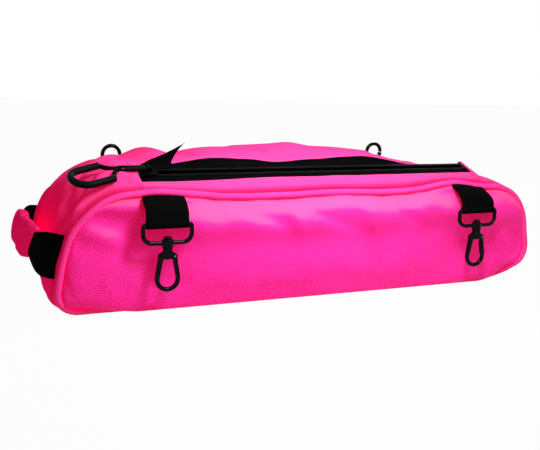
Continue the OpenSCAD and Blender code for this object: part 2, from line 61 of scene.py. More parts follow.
# Waver of the rear zip tape out of the zip's plane, and its roll back at the right end, in mm
TAPE_TILT = ((-180, 0), (-140, -0.8), (-105, 3.0), (-60, 1.5), (-38, -0.8), (0, 0.8), (60, 3.0), (85, 0.5),
             (105, -2.0), (125, -3.4), (150, -4.2), (180, -4.5))
ZIP_ROLL = ((80, 0), (110, 1.5), (138, 4.0), (165, 6.0), (180, 6.4))
# Shift of the strips' edges beside the zip in mm, less than 0 towards the front
REAR_LAP = ((-180, -9.5), (-170, -8.0), (-160, -5.5), (-148, -2.0), (-138, 0))
FRONT_LAP = ((-180, -4), (-150, -3.8), (-110, -2), (-70, -0.3), (-40, 0))
# Spread of the left foot, at heights in mm
LEFT_FOOT = ((0, 6.5), (12, 8.0), (45, 8.0), (58, 6.6), (72, 4.6), (86, 1.6), (100, 0))
# Outward relief of the stuffed front and back over their height, in mm
STUFFING = ((0, 0), (6, 4.6), (15, 7.4), (25, 8.2), (35, 8.0), (46, 7.2), (56, 7.6), (63, 9.8), (69, 12.8),
            (75, 14.4), (80, 13.6), (86, 10.4), (92, 6.0), (97, 2.6), (100, 1.0))
# The same at the slack left and right ends, where the cloth hollows under the corners
SLACK_LEFT = ((0, 0), (8, 4.5), (20, 6.0), (32, 5.4), (44, 3.6), (56, 1.0), (66, -0.6), (74, -0.8), (80, 0.4),
              (86, 3.0), (92, 5.6), (96, 4.6), (100, 1.0))
SLACK_RIGHT = ((0, 0), (8, 3.2), (16, 3.4), (24, 1.8), (32, -0.6), (40, -1.2), (48, 1.0), (56, 4.4), (64, 7.8),
               (70, 9.6), (76, 9.8), (82, 8.2), (90, 4.6), (100, 1.0))
# Where each slack end begins along the bag, the run over which it does, and its relief: left, then right
SLACK_ENDS = ((152, 44, SLACK_LEFT), (98, 66, SLACK_RIGHT))
# Half width that a tab holds back; the share of the stuffing that it holds from a height up, and lets go higher up
TAB_HALF, TAB_HOLDS, TAB_LETS_GO, TAB_RUN = 24, (0.95, 10), (0.55, 60), 14
# Height from which the panels are finely creased, and the run over which that begins
CREASED_FROM, CREASED_RUN = 62, 16
# The panels' cut, along and up; the groove beside their piping: how deep, its rise, where that starts and its run
PANEL_CUT = (490, 97)
GROOVE_DEEP, GROOVE_RISE, GROOVE_FROM, GROOVE_RUN = 1.8, 4.2, 2.5, 4.5
# What the relief loses at the groove, where it starts and its run
RELIEF_OFF, RELIEF_FROM, RELIEF_RUN = 2.4, 3, 14
# Lower edge of the panels as it rolls under: depth and height of a cubic curve's points, the cut that it takes,
# how far past the straight base it goes and the run over which it fades there
ROLL_UNDER, ROLL_CUT = ((82, 4), (90, -4.5), (96, -2), (95.5, 19)), 18
ROLL_PAST, ROLL_FADE = 6, 56
# Height from which the top seams' droop shows in the sides, and its run; depth from which the rear seam's does
DROOP_FROM, DROOP_RUN, REAR_DROOP_FROM = 55, 45, 20
# Left foot: where it starts to spread along the bag, its run, its share at the back, and where the rest comes in
LEFT_FROM, LEFT_RUN, LEFT_REAR, LEFT_DEEP, LEFT_DEEP_RUN = 160, 80, 0.3, 10, 90
# Right foot: where its bend starts along the bag, its height, its run along the bag and how square it is
RIGHT_FROM, RIGHT_HIGH, RIGHT_RUN, RIGHT_SQUARE = 186, 38, 64.5, 6
# Lower seams: how far they are drawn under, up to what height, and from what depth with what run
UNDER, UNDER_HIGH, UNDER_FROM, UNDER_RUN = 5, 14, 60, 25
# Gusset's edge in its piped seam: how far it dips, how far short of the seam it starts and its run
TUCK_DEEP, TUCK_SHORT, TUCK_RUN = 3.0, 2.6, 2.4
# Zip: depth of its plane under the strips, how far the teeth stop short of the seams, the half width that the
# slider needs flat, the run of tape beyond that, and where the zip ends along the bag with the run of that end
ZIP_SUNK, TEETH_SHORT, SLIDER_HALF, TAPE_RUN, ZIP_END, ZIP_END_RUN = 2.45, 4, 8, 7.5, 181, 15
# Top behind the zip: run of its slack, how far past the strip's lip its slump and swell start, where the swell
# starts to fade towards the rear and its run, and the run in which the strip leaves the tape's waver
LOOSE_RUN, SLUMP_PAST, SWELL_PAST, SWELL_UNTIL, SWELL_FADE, WAVER_FADE = 30, 1, 2, 40, 46, 26
# Folds of the front and back: along and up at each end of the fold, its half width and its height, in mm
FRONT_FOLDS = ((-119, 97, -83, 86, 6, 3.6), (-101, 92, -44, 72, 5, -4.2), (-47, 92, -32, 64, 4.5, 4.6),
               (-19, 82, 34, 67, 5, -4.4), (2, 95, 50, 83, 6, 4.0), (39, 84, 41, 66, 4, 4.0),
               (72, 82, 94, 71, 4.5, -4.0), (97, 94, 140, 76, 6, 4.0), (60, 76, 150, 62, 5, -2.4),
               (70, 66, 150, 52, 5, -1.6),
               (-238, 78, -190, 58, 6, 5.0), (-226, 88, -188, 78, 8, -3.0), (-198, 66, -184, 46, 9, -3.0),
               (236, 66, 196, 54, 8, -2.0), (232, 34, 200, 44, 8, 2.6), (196, 30, 170, 22, 9, -2.0),
               (-60, 40, 90, 30, 22, 1.2))
# Folds of the end panels: up and across at each end of the fold, its half width and its height, in mm
END_FOLDS = ((96, -82, 150, -54, 7, 3.4), (84, -60, 146, -18, 9, -3.0), (104, -34, 160, 6, 9, 3.0),
             (50, -84, 96, -52, 9, 2.0), (74, 10, 150, 66, 11, 2.8), (60, 44, 130, 82, 9, -2.2))
# Folds of the top behind the zip, along and across
TOP_FOLDS = ((-168, 50, -140, -30, 9, 2.4), (-120, -30, -140, 50, 8, -1.8), (-20, -25, 30, 45, 14, 1.6),
             (60, -32, 110, 20, 9, 2.2), (96, -34, 150, 10, 8, -2.0), (128, -30, 172, 40, 9, 2.0))
# Waviness of the cloth in layers: height in mm, squeeze of the second direction, grain in mm, and seed
PANEL_WAVES = ((1.4, 1.4, 64, 1), (0.6, 0.8, 24, 2))
CREASE_WAVES = ((1.3, 0.5, 19, 3), (0.7, 0.7, 8, 4))
END_WAVES = {-1: ((2.2, 1, 46, 2), (1.0, 1, 19, 4)), 1: ((2.2, 1, 46, 4), (1.0, 1, 19, 6))}
FRONT_STRIP_WAVES = ((0.5, 1, 26, 13),)
REAR_STRIP_WAVES = ((1.8, 1, 60, 11), (0.9, 0.6, 24, 12))
CORNERS = [("front", "left", -1), ("front", "right", 1), ("rear", "left", -1), ("rear", "right", 1)]
# Lamps: name, place and aim in metres, size in metres and power in watts
LAMPS = (("key", (-0.01, -0.29, 0.37), (0, -0.06, 0.06), 0.14, 2.05),
         ("front", (0.5, -0.95, 0.68), (0, -0.05, 0.06), 0.4, 1.0),
         ("rear", (0.6, 0.85, 0.5), (0, 0.05, 0.05), 0.3, 5))
# Camera: place in metres, yaw, pitch and roll in degrees, focal length and picture width in pixels, sensor in mm
CAMERA_AT, CAMERA_TURN = (-0.369, -0.7778, 0.2057), (-24.18, 10.07, 1.6)
FOCAL, PICTURE, SENSOR = 823, 540, 36


# Sizes and colours

def length(name, words, value):
    """A length setting, in metres."""
    return FloatProperty(name=name, description=words, default=value, unit="LENGTH")


def shade(name, words, value):
    """A colour setting, as an sRGB hex value."""
    return StringProperty(name=name, description=words, default=value)


class BagSizes(bpy.types.PropertyGroup):
    """Sizes of the bag, the same as its solids have."""

    length: length("Length", "Length of the base over the piping", 0.5)
    depth: length("Depth", "Depth over the two pipings", 0.184)
    side_height: length("Side height", "Height to the top of the piping", 0.106)
    crown: length("Crown", "Rise of the domed top above the piping", 0.027)
    end_bulge: length("End bulge", "Outward bulge of the end panels", 0.003)
    base_radius: length("Base radius", "Bottom corner radius of the panels", 0.02)
    top_radius: length("Top radius", "Top corner radius of the panels", 0.052)
    lean: length("Lean", "How far each top corner leans in", 0.006)
    piping: length("Piping", "Diameter of the corded piping", 0.006)
    zip_offset: length("Zip offset", "Distance of the zip from the middle of the top", 0.058)
    zip_panel: length("Zip panel", "Length of the zip panel between its seams", 0.36)
    slit: length("Slit", "Width between the two rows of teeth", 0.007)
    tape: length("Tape", "Width of each zip tape", 0.016)
    tape_lap: length("Tape lap", "Width of tape under each strip", 0.004)
    webbing: length("Webbing", "Width of the webbing", 0.038)
    tab_reach: length("Tab reach", "Distance of each tab from the middle", 0.164)
    pivot_out: length("Pivot out", "Distance of the hook pivots beyond the piping", 0.015)
    front_drop: length("Front drop", "Drop of the front hook pivots", 0.026)
    rear_drop: length("Rear drop", "Drop of the rear hook pivots", 0.033)
    handle_out: length("Handle out", "How far the handle stands out", 0.032)
    handle_height: length("Handle height", "Height of the middle of the handle", 0.052)
    pad_length: length("Pad length", "Length of the padded grip", 0.102)
    pad_thick: length("Pad thickness", "Thickness of the padded grip", 0.011)
    weave: length("Weave", "Thread spacing of the panels' basket weave", 0.0019)
    stitch: length("Stitch", "Length of one stitch", 0.0032)


class BagColours(bpy.types.PropertyGroup):
    """Colours of the bag, as sRGB hex values."""

    panel: shade("Panel", "Woven polyester of the front and back", "#F83CC0")
    panel_deep: shade("Panel shade", "Hollows of the panels' weave", "#E028A0")
    gusset: shade("Gusset", "Smooth polyester of the ends and top", "#F03EA2")
    gusset_deep: shade("Gusset shade", "Hollows of the gusset's weave", "#E22E8C")
    # Painted shade in the grooves beside the piping, not a colour of the cloth
    painted_groove_shade: shade("Shaded seam", "Cloth in the grooves beside the piping", "#8C0036")
    piping: shade("Piping", "Bias tape of the piping", "#F84CB0")
    thread: shade("Thread", "Sewing thread", "#FF7CC0")
    lining: shade("Lining", "Coated inside of the fabric", "#111112")
    webbing: shade("Webbing", "Black polyester webbing", "#050506")
    tape: shade("Zip tape", "Black zip tape", "#050506")
    coil: shade("Teeth", "Black nylon teeth", "#0B0B0D")
    nickel: shade("Black nickel", "Plating of the hooks", "#17171A")
    lacquer: shade("Lacquer", "Lacquer of the slider", "#070708")
    rubber: shade("Rubber", "Moulded pull grip", "#0A0A0B")
    cord: shade("Cord", "Braided pull cord", "#060606")
    floor: shade("Floor", "Plain pale floor", "#C0C0C0")


class Bag:
    """Every measure of the bag in millimetres, worked out from the scene's sizes."""

    def __init__(self):
        s = bpy.context.scene.bag_sizes
        for name in BagSizes.__annotations__:
            setattr(self, name, getattr(s, name) / MM)
        self.bx = self.length / 2 - self.base_radius
        self.tx = self.length / 2 - self.lean - self.top_radius
        self.tz = self.side_height - self.top_radius
        run = math.hypot(self.tx - self.bx, self.tz - self.base_radius)
        self.side_a = math.atan2(self.tz - self.base_radius, self.tx - self.bx) - math.acos(
            (self.base_radius - self.top_radius) / run)
        self.yg = self.depth / 2 - self.piping
        self.yp = self.depth / 2 - self.piping / 2
        self.seam = self.zip_panel / 2
        self.zip_y = -self.zip_offset
        self.tilt = math.atan(2 * self.crown * self.zip_offset / self.yg ** 2)
        self.half_tape = self.slit / 2 + self.tape
        self.bare_tape = self.half_tape - self.tape_lap
        self.flat = self.half_tape * math.cos(self.tilt)
        self.zip_z = self.side_height + self.crown * self.crown_at(self.zip_y) - ZIP_SUNK / math.cos(self.tilt)
        self.teeth = self.zip_panel / 2 - TEETH_SHORT
        self.pivot_y = self.depth / 2 + self.pivot_out
        self.front_z = self.side_height - self.front_drop
        self.rear_z = self.side_height - self.rear_drop
        self.half = self.right_half()
        self.reach = self.half[-1][0]

    def crown_at(self, y):
        """Height of the domed top across its depth, from 0 at the pipings, flat beside the zip."""
        off = abs(y - self.zip_y)
        fade = max(0.0, 1 - max(0.0, off - self.flat) / max(1.0, self.yg - self.zip_offset - self.flat))
        return 1 - (y / self.yg) ** 2 + (min(off, self.flat) / self.yg) ** 2 * fade

    def right_half(self):
        """Right half of the panel outline: walked distance, x, z and the outward normal's angle."""
        spots = [(x, 0.0, -math.pi / 2) for x in spread(0, self.bx, 60)]
        for cx, cz, r, a0, a1, n in ((self.bx, self.base_radius, self.base_radius, -math.pi / 2, self.side_a, 16),
                                     (self.tx, self.tz, self.top_radius, self.side_a, math.pi / 2, 32)):
            spots += [(cx + r * math.cos(a), cz + r * math.sin(a), a) for a in spread(a0, a1, n)]
        spots += [(x, self.side_height, math.pi / 2) for x in spread(self.tx, 0, 50)]
        walk, past = [], None
        gone = 0.0
        for x, z, a in spots:
            gone += math.hypot(x - past[0], z - past[1]) if past else 0.0
            past = (x, z)
            walk.append((gone, x, z, a))
        return walk

    def outline(self, s):
        """Point and normal angle of the outline at a distance walked from the middle of the base."""
        whole = 2 * self.reach
        s %= whole
        left = s > self.reach
        s = whole - s if left else s
        low, high = 0, len(self.half) - 1
        while high - low > 1:
            mid = (low + high) // 2
            low, high = (mid, high) if self.half[mid][0] <= s else (low, mid)
        a, b = self.half[low], self.half[high]
        t = 0.0 if b[0] == a[0] else (s - a[0]) / (b[0] - a[0])
        x, z, n = (a[k] + (b[k] - a[k]) * t for k in (1, 2, 3))
        return (-x, z, math.pi - n) if left else (x, z, n)

    def droop(self, x, side):
        """How far the top seam hangs below its straight line, pulled up at the tabs."""
        return along(FRONT_SEAM if side < 0 else REAR_SEAM, x)

    def rim(self, s, side, off=0.0):
        """Seam line of the front (-1) or back (1) panel, moved out by off."""
        x, z, n = self.outline(s)
        x += off * math.cos(n)
        z += off * math.sin(n)
        return Vector((x, side * self.yp, z - self.droop(x, side) * ease((z - DROOP_FROM) / DROOP_RUN)))

    def settle(self, p):
        """How the stuffed shell stands: its left foot spreads, its right foot is drawn up, its lower seams go under."""
        q = p.copy()
        deep = LEFT_REAR + (1 - LEFT_REAR) * ease((LEFT_DEEP - p.y) / LEFT_DEEP_RUN)
        q.x -= along(LEFT_FOOT, p.z) * ease((-LEFT_FROM - p.x) / LEFT_RUN) * deep
        u, v = (p.x - RIGHT_FROM) / RIGHT_RUN, (RIGHT_HIGH - p.z) / RIGHT_HIGH
        if u > 0 and v > 0:
            pull = (u ** RIGHT_SQUARE + v ** RIGHT_SQUARE) ** (1 / RIGHT_SQUARE) / math.hypot(u, v)
            q.x, q.z = RIGHT_FROM + RIGHT_RUN * u * pull, RIGHT_HIGH - RIGHT_HIGH * v * pull
        inward = UNDER * (1 - ease(p.z / UNDER_HIGH)) * ease((abs(p.y) - UNDER_FROM) / UNDER_RUN)
        q.y -= math.copysign(inward, p.y)
        return q

    def roll(self, x, u):
        """How far the rear tape leaves the zip's plane, clear of the slider: it wavers, and rolls back on the right."""
        past = u - SLIDER_HALF
        return along(TAPE_TILT, x) * ease(past / TAPE_RUN) - along(ZIP_ROLL, x) * max(0.0, past) / TAPE_RUN

    def dome(self, x, y):
        """Height of the top above the straight seams: crowned, swollen to the left and slumped to the right."""
        lip = self.zip_y + self.bare_tape * math.cos(self.tilt)
        past = ease((x - ZIP_END) / ZIP_END_RUN)
        loose = max(ease((y - lip - SLUMP_PAST) / LOOSE_RUN), past)
        high = self.crown * self.crown_at(y) * (1 - along(SLUMP, x) * loose)
        swollen = along(SWELL, x) * ease((y - lip - SWELL_PAST) / LOOSE_RUN)
        high += swollen * (1 - ease((y - SWELL_UNTIL) / SWELL_FADE))
        u = (y - self.zip_y) / math.cos(self.tilt)
        high += self.roll(x, u) / math.cos(self.tilt) * (1 - ease((y - lip) / WAVER_FADE)) * (1 - past)
        return high

    def hang(self, x, y):
        """Droop of the seams, carried into the cloth beside them."""
        front = self.zip_y - self.bare_tape * math.cos(self.tilt)
        if y < front:
            return self.droop(x, -1) * (front - y) / (front + self.yg)
        return self.droop(x, 1) * ease((y - REAR_DROOP_FROM) / (self.yg - REAR_DROOP_FROM))

    def tuck(self, y):
        """How far the gusset's edge dips into its piped seam."""
        return TUCK_DEEP * ease((abs(y) - self.yg + TUCK_SHORT) / TUCK_RUN)

    def relief(self, x, z):
        """How far the stuffed cloth of the front or back stands out: held in below the tabs, slack at the ends."""
        near = math.exp(-((abs(x) - self.tab_reach) / TAB_HALF) ** 2)
        start, run, slack = SLACK_ENDS[x >= 0]
        ends = ease((abs(x) - start) / run)
        (hold, low), (loose, high) = TAB_HOLDS, TAB_LETS_GO
        held = near * (hold * ease((z - low) / TAB_RUN) - loose * ease((z - high) / TAB_RUN))
        puff = along(STUFFING, z) * (1 - held) * (1 - ends)
        puff += along(slack, z) * ends
        puff += waves(x, z, PANEL_WAVES)
        creased = ease((z - CREASED_FROM) / CREASED_RUN) * (1 - max(near, ends))
        puff += creased * waves(x, z, CREASE_WAVES)
        puff += sum(ridge(x, z, *fold) for fold in FRONT_FOLDS)
        return puff

    def top(self, x, y):
        """Point of the top beside the zip."""
        return Vector((x, y, self.side_height + self.dome(x, y) - self.hang(x, y)))

    def end(self, s, y, side):
        """Point of an end panel, walked along the outline at one depth, with its normal's angle; x is positive."""
        x, z, n = self.outline(s)
        puff = self.end_bulge * self.crown_at(y)
        if n < self.side_a:
            puff *= ease((n + math.pi / 2) / (self.side_a + math.pi / 2))
        else:
            puff += (self.dome(side * x, y) - puff) * ease((n - self.side_a) / (math.pi / 2 - self.side_a))
        drop = self.hang(side * x, y) * ease((z - DROOP_FROM) / DROOP_RUN)
        return Vector((x + puff * math.cos(n), y, z + puff * math.sin(n) - drop)), n

    def on_zip(self, x, u, w):
        """Point in the zip's plane: along it, across it and out of it."""
        c, s = math.cos(self.tilt), math.sin(self.tilt)
        return Vector((x, self.zip_y + u * c - w * s, self.zip_z + u * s + w * c))

    def on_left_end(self, out, y, up):
        """Point beside the left end: outwards, across and up its leaning side."""
        c, s = math.cos(self.side_a), math.sin(self.side_a)
        foot = self.bx + self.base_radius * c
        foot -= (self.handle_height - self.base_radius - self.base_radius * s) * math.tan(self.side_a)
        return Vector((-foot - out * c + up * s, y, self.handle_height + out * s + up * c))


# Shaping

def ease(t):
    """Smooth step from 0 to 1."""
    t = min(1.0, max(0.0, t))
    return t * t * (3 - 2 * t)


def along(knots, x):
    """Smooth curve through (place, value) knots, level beyond its ends."""
    if x <= knots[0][0]:
        return knots[0][1]
    if x >= knots[-1][0]:
        return knots[-1][1]
    k = next(i for i in range(1, len(knots)) if knots[i][0] >= x)
    slopes = []
    for i in (k - 1, k):
        a, b = knots[max(0, i - 1)], knots[min(len(knots) - 1, i + 1)]
        slopes.append((b[1] - a[1]) / (b[0] - a[0]))
    (x0, y0), (x1, y1) = knots[k - 1], knots[k]
    run = x1 - x0
    t = (x - x0) / run
    return (y0 * (1 + 2 * t) * (1 - t) ** 2 + slopes[0] * run * t * (1 - t) ** 2
            + y1 * t * t * (3 - 2 * t) + slopes[1] * run * t * t * (t - 1))


def spread(a, b, n):
    """n + 1 even values from a to b."""
    return [a + (b - a) * i / n for i in range(n + 1)]


def ridge(x, y, x0, y0, x1, y1, wide, high):
    """Height of a soft fold that runs along one line."""
    dx, dy = x1 - x0, y1 - y0
    t = ((x - x0) * dx + (y - y0) * dy) / (dx * dx + dy * dy)
    gap = math.hypot(x - x0 - dx * min(1, max(0, t)), y - y0 - dy * min(1, max(0, t)))
    soft = 0.15  # share of the fold's length over which each end fades
    taper = ease((t + soft) / (2 * soft)) * ease((1 + soft - t) / (2 * soft))
    return high * math.exp(-(gap / wide) ** 2) * taper


def ripple(x, y, grain, seed):
    """Smooth uneven waviness between about -1 and 1."""
    apart = 7.31  # distance between the seeds' layers of noise
    return noise.noise(Vector((x / grain, y / grain, seed * apart)))


def waves(x, y, layers):
    """Several layers of waviness together, in mm."""
    return sum(high * ripple(x, y * squeeze, grain, seed) for high, squeeze, grain, seed in layers)


def cubic(t):
    """Weights of the four points of a cubic curve."""
    return (1 - t) ** 3, 3 * t * (1 - t) ** 2, 3 * t * t * (1 - t), t ** 3


def pick_only(obj):
    """Selects one object and makes it active."""
    bpy.ops.object.select_all(action="DESELECT")
    obj.select_set(True)
    bpy.context.view_layer.objects.active = obj


def smooth(obj, angle=None):
    """Shades an object smooth, or only across edges flatter than an angle."""
    pick_only(obj)
    if angle is None:
        bpy.ops.object.shade_smooth()
    else:
        bpy.ops.object.shade_smooth_by_angle(angle=angle)
    return obj


def shaped(obj, kind, **settings):
    """Adds one modifier, sets it and applies it."""
    pick_only(obj)
    mod = obj.modifiers.new(kind.lower(), kind)
    for key, value in settings.items():
        setattr(mod, key, value)
    bpy.ops.object.modifier_apply(modifier=mod.name)
    return obj


def edit(obj, *steps):
    """Runs edit-mode operators on the whole of one object."""
    pick_only(obj)
    bpy.ops.object.mode_set(mode="EDIT")
    bpy.ops.mesh.select_all(action="SELECT")
    for step, settings in steps:
        getattr(bpy.ops.mesh, step)(**settings)
    bpy.ops.object.mode_set(mode="OBJECT")
    return obj


def soft_grid(name, nu, nv, place, out, size, crowd=0.0, seams="", groove=5.2):
    """A grid primitive moved onto a surface: out says which way its faces point, size is its cut in mm, crowd brings
    its rows closer together at the edges, and seams names the edges (l, r, b, t) beside a piped seam, where painted
    shade darkens the colour over a groove that wide in mm."""
    bpy.ops.object.select_all(action="DESELECT")
    bpy.ops.mesh.primitive_grid_add(x_subdivisions=nu, y_subdivisions=nv, size=2)
    obj = bpy.context.object
    obj.name = name
    mesh = obj.data
    cut = []
    # Painted shade: how deep each point lies in the groove beside a piped seam
    groove_shade = mesh.attributes.new("painted_groove_shade", "FLOAT", "POINT")
    for v in mesh.vertices:
        a, b = (k - crowd * math.sin(2 * math.pi * k) / (2 * math.pi) for k in ((v.co.x + 1) / 2, (v.co.y + 1) / 2))
        cut.append((a * size[0] * MM, b * size[1] * MM))
        v.co = place(a, b) * MM
        gaps = {"l": a * size[0], "r": (1 - a) * size[0], "b": b * size[1], "t": (1 - b) * size[1]}
        groove_shade.data[v.index].value = max((math.exp(-(gaps[k] / groove) ** 4) for k in seams), default=0.0)
    layer = mesh.uv_layers.active
    for loop in mesh.loops:
        layer.data[loop.index].uv = cut[loop.vertex_index]
    mesh.update()
    if sum(p.normal.dot(Vector(out(p.center))) * p.area for p in mesh.polygons) < 0:
        edit(obj, ("flip_normals", {}))
    return obj


def edge_points(obj):
    """Numbers of the points on the open edge of a grid."""
    count = {}
    for p in obj.data.polygons:
        for key in p.edge_keys:
            count[key] = count.get(key, 0) + 1
    return sorted({i for key, n in count.items() if n == 1 for i in key})


def drape(obj, held, slack, push, cap, frames=18):
    """Lets the cloth buckle between its held points, then limits how far it moved, in mm."""
    before = [v.co.copy() for v in obj.data.vertices]
    group = obj.vertex_groups.new(name="held")
    group.add(held, 1.0, "REPLACE")
    pick_only(obj)
    mod = obj.modifiers.new("drape", "CLOTH")
    cloth = mod.settings
    cloth.quality = 6
    cloth.mass = 0.15
    cloth.tension_stiffness = cloth.compression_stiffness = 25
    cloth.shear_stiffness = 10
    cloth.bending_stiffness = 0.6
    cloth.air_damping = 2
    cloth.vertex_group_mass = "held"
    cloth.shrink_min = -slack
    cloth.use_pressure = True
    cloth.uniform_pressure_force = push
    cloth.effector_weights.gravity = 0
    mod.point_cache.frame_start = 1
    mod.point_cache.frame_end = frames
    for f in range(1, frames + 1):
        bpy.context.scene.frame_set(f)
    bpy.ops.object.modifier_apply(modifier=mod.name)
    bpy.context.scene.frame_set(1)
    obj.vertex_groups.clear()
    for v, old in zip(obj.data.vertices, before):
        move = v.co - old
        if move.length > cap * MM:
            v.co = old + move.normalized() * cap * MM
    return obj


def two_sided(obj):
    """Two empty finish slots, because Solidify gives the inside only a slot that is there."""
    for _ in range(2):
        obj.data.materials.append(None)


def sewn_shell(obj, thick):
    """Gives cloth its thickness inwards, with the inside and the rim in the second finish."""
    two_sided(obj)
    # How far the cloth faces up, from a first slope over a run of slopes; its colour is paler there, as painted sheen
    slope, run = 0.22, 0.34
    painted_sheen = obj.data.attributes.new("painted_sheen", "FLOAT", "POINT")
    painted_sheen.data.foreach_set("value", [ease((v.normal.z - slope) / run) for v in obj.data.vertices])
    shaped(obj, "SOLIDIFY", thickness=thick * MM, offset=-1, material_offset=1, material_offset_rim=1)
    shaped(obj, "SUBSURF", levels=1, render_levels=1)
    return smooth(obj)


def tube(name, path, radius, closed=False, sides=4):
    """A round bar along a path in mm, made from a curve."""
    bpy.ops.object.select_all(action="DESELECT")
    bpy.ops.curve.primitive_nurbs_path_add()
    obj = bpy.context.object
    obj.name = name
    curve = obj.data
    curve.splines.clear()
    line = curve.splines.new("POLY")
    line.points.add(len(path) - 1)
    for spot, p in zip(line.points, path):
        spot.co = (*(Vector(p) * MM), 1)
    line.use_cyclic_u = closed
    curve.dimensions = "3D"
    curve.bevel_depth = radius * MM
    curve.bevel_resolution = sides
    curve.use_fill_caps = True
    pick_only(obj)
    bpy.ops.object.convert(target="MESH")
    bpy.ops.object.shade_smooth()
    return edit(bpy.context.object, ("remove_doubles", {"threshold": 1e-6}))


def joined(name, parts):
    """Joins objects into the first one."""
    bpy.ops.object.select_all(action="DESELECT")
    for part in parts:
        part.select_set(True)
    bpy.context.view_layer.objects.active = parts[0]
    bpy.ops.object.join()
    parts[0].name = name
    return parts[0]


def solid_copy(name, node):
    """A welded copy of one of the frame's solids, to be worked on further."""
    obj = bpy.data.objects.new(name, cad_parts[node].data.copy())
    bpy.context.collection.objects.link(obj)
    obj.data.materials.clear()
    return edit(obj, ("remove_doubles", {"threshold": 1e-6}))


def scattered(name, seed, spots):
    """Copies of one small mesh, placed by matrices and kept as a single piece."""
    verts, faces = [], []
    shape = [v.co.copy() for v in seed.data.vertices]
    sides = [tuple(p.vertices) for p in seed.data.polygons]
    for spot in spots:
        base = len(verts)
        verts += [spot @ v for v in shape]
        faces += [tuple(base + i for i in f) for f in sides]
    mesh = bpy.data.meshes.new(name)
    mesh.from_pydata(verts, [], faces)
    obj = bpy.data.objects.new(name, mesh)
    bpy.context.collection.objects.link(obj)
    bpy.data.objects.remove(seed)
    return smooth(obj)


def stitched(name, rows, bag):
    """Rows of sewing stitches along paths of (point, normal) in mm."""
    thick, gap, sunk = 0.75, 0.35, 0.04  # of one stitch: thickness in mm, share left open, depth in the cloth in mm
    bpy.ops.object.select_all(action="DESELECT")
    bpy.ops.mesh.primitive_uv_sphere_add(segments=6, ring_count=4, radius=0.5)
    seed = bpy.context.object
    spots = []
    for row in rows:
        left = 0.0
        for (p, n), (q, m) in zip(row, row[1:]):
            run = (q - p).length
            way = (q - p).normalized()
            while left < run:
                out = n.lerp(m, left / run).normalized()
                side = out.cross(way).normalized()
                turn = Matrix((way, side, out)).transposed().to_4x4()
                size = Matrix.Diagonal((bag.stitch * (1 - gap) * MM, thick * MM, thick * MM, 1))
                spots.append(Matrix.Translation((p + way * left - out * sunk) * MM) @ turn @ size)
                left += bag.stitch
            left -= run
    return scattered(name, seed, spots)


def worn(obj, body, slot, finish, *nodes, inside=None):
    """Gives a piece its finish, its body and the solids that it stands for."""
    if inside:
        obj.data.materials[0], obj.data.materials[1] = finish, inside
    else:
        obj.data.materials.append(finish)
    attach(obj, body)
    if nodes:
        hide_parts(*nodes)
    return obj


# Finishes

def linear(code):
    """An sRGB hex value as linear red, green, blue and alpha."""
    parts = [int(code[i:i + 2], 16) / 255 for i in (1, 3, 5)]
    return tuple(c / 12.92 if c <= 0.04045 else ((c + 0.055) / 1.055) ** 2.4 for c in parts) + (1.0,)


def add(tree, kind, feeds=None, **values):
    """Adds a node: values set its own settings or sockets, feeds link other nodes' outputs to its sockets."""
    node = tree.nodes.new("ShaderNode" + kind)
    for key, value in values.items():
        if key in node.inputs:
            node.inputs[key].default_value = value
        else:
            setattr(node, key, value)
    for key, out in (feeds or {}).items():
        tree.links.new(out, node.inputs[key])
    return node


def finish(name):
    """A node material with its tree and its shader, which are None if it was made already."""
    old = bpy.data.materials.get(name)
    if old:
        return old, None, None
    mat = bpy.data.materials.new(name)
    mat.use_nodes = True
    return mat, mat.node_tree, mat.node_tree.nodes["Principled BSDF"]


def band_scale(pitch_mm):
    """Scale of a wave texture whose bands are that far apart."""
    return 2 * math.pi / (20 * pitch_mm * MM)


def tell(shader, **values):
    """Sets plain values on a shader's own sockets."""
    for key, value in values.items():
        shader.inputs[key.replace("_", " ")].default_value = value


def woven(name, high, low, pitch, turn, rough, deep, painted_groove_shade="#050506", painted_sheen="#0A0A0B", **sockets):
    """Polyester woven in flat yarns: a small raised square for each crossing, darker hollows between them."""
    mat, tree, shader = finish(name)
    if not tree:
        return mat
    where = add(tree, "TexCoord")
    turned = add(tree, "Mapping", {"Vector": where.outputs["UV"]}, Rotation=(0, 0, math.radians(turn)))
    yarns = []
    for way in ("X", "Y"):
        yarns.append(add(tree, "TexWave", {"Vector": turned.outputs["Vector"]}, wave_type="BANDS",
                         bands_direction=way, wave_profile="SIN", Scale=band_scale(pitch)))
    cross = add(tree, "Math", {0: yarns[0].outputs["Fac"], 1: yarns[1].outputs["Fac"]}, operation="MULTIPLY")
    mottle = add(tree, "TexNoise", {"Vector": where.outputs["Object"]}, Scale=1 / (45 * MM), Detail=3.0)
    tone = add(tree, "Math", {0: cross.outputs[0], 1: mottle.outputs["Fac"]}, operation="ADD", use_clamp=True)
    shades = add(tree, "ValToRGB", {"Fac": tone.outputs[0]})
    shades.color_ramp.elements[0].position = 0.35
    shades.color_ramp.elements[0].color = linear(low)
    shades.color_ramp.elements[1].color = linear(high)
    # Paler where the cloth faces up, as painted sheen; darker in the groove beside a piped seam, as painted shade
    groove_shade = add(tree, "Attribute", attribute_name="painted_groove_shade")
    light = add(tree, "Attribute", attribute_name="painted_sheen")
    pale = add(tree, "MixRGB", {"Fac": light.outputs["Fac"], "Color1": shades.outputs["Color"]}, Color2=linear(painted_sheen))
    dark = add(tree, "MixRGB", {"Fac": groove_shade.outputs["Fac"], "Color1": pale.outputs["Color"]}, Color2=linear(painted_groove_shade))
    tree.links.new(dark.outputs["Color"], shader.inputs["Base Color"])
    bump = add(tree, "Bump", {"Height": cross.outputs[0]}, Strength=deep, Distance=0.0006)
    tree.links.new(bump.outputs["Normal"], shader.inputs["Normal"])
    tell(shader, Roughness=rough, IOR=1.5, **sockets)
    return mat


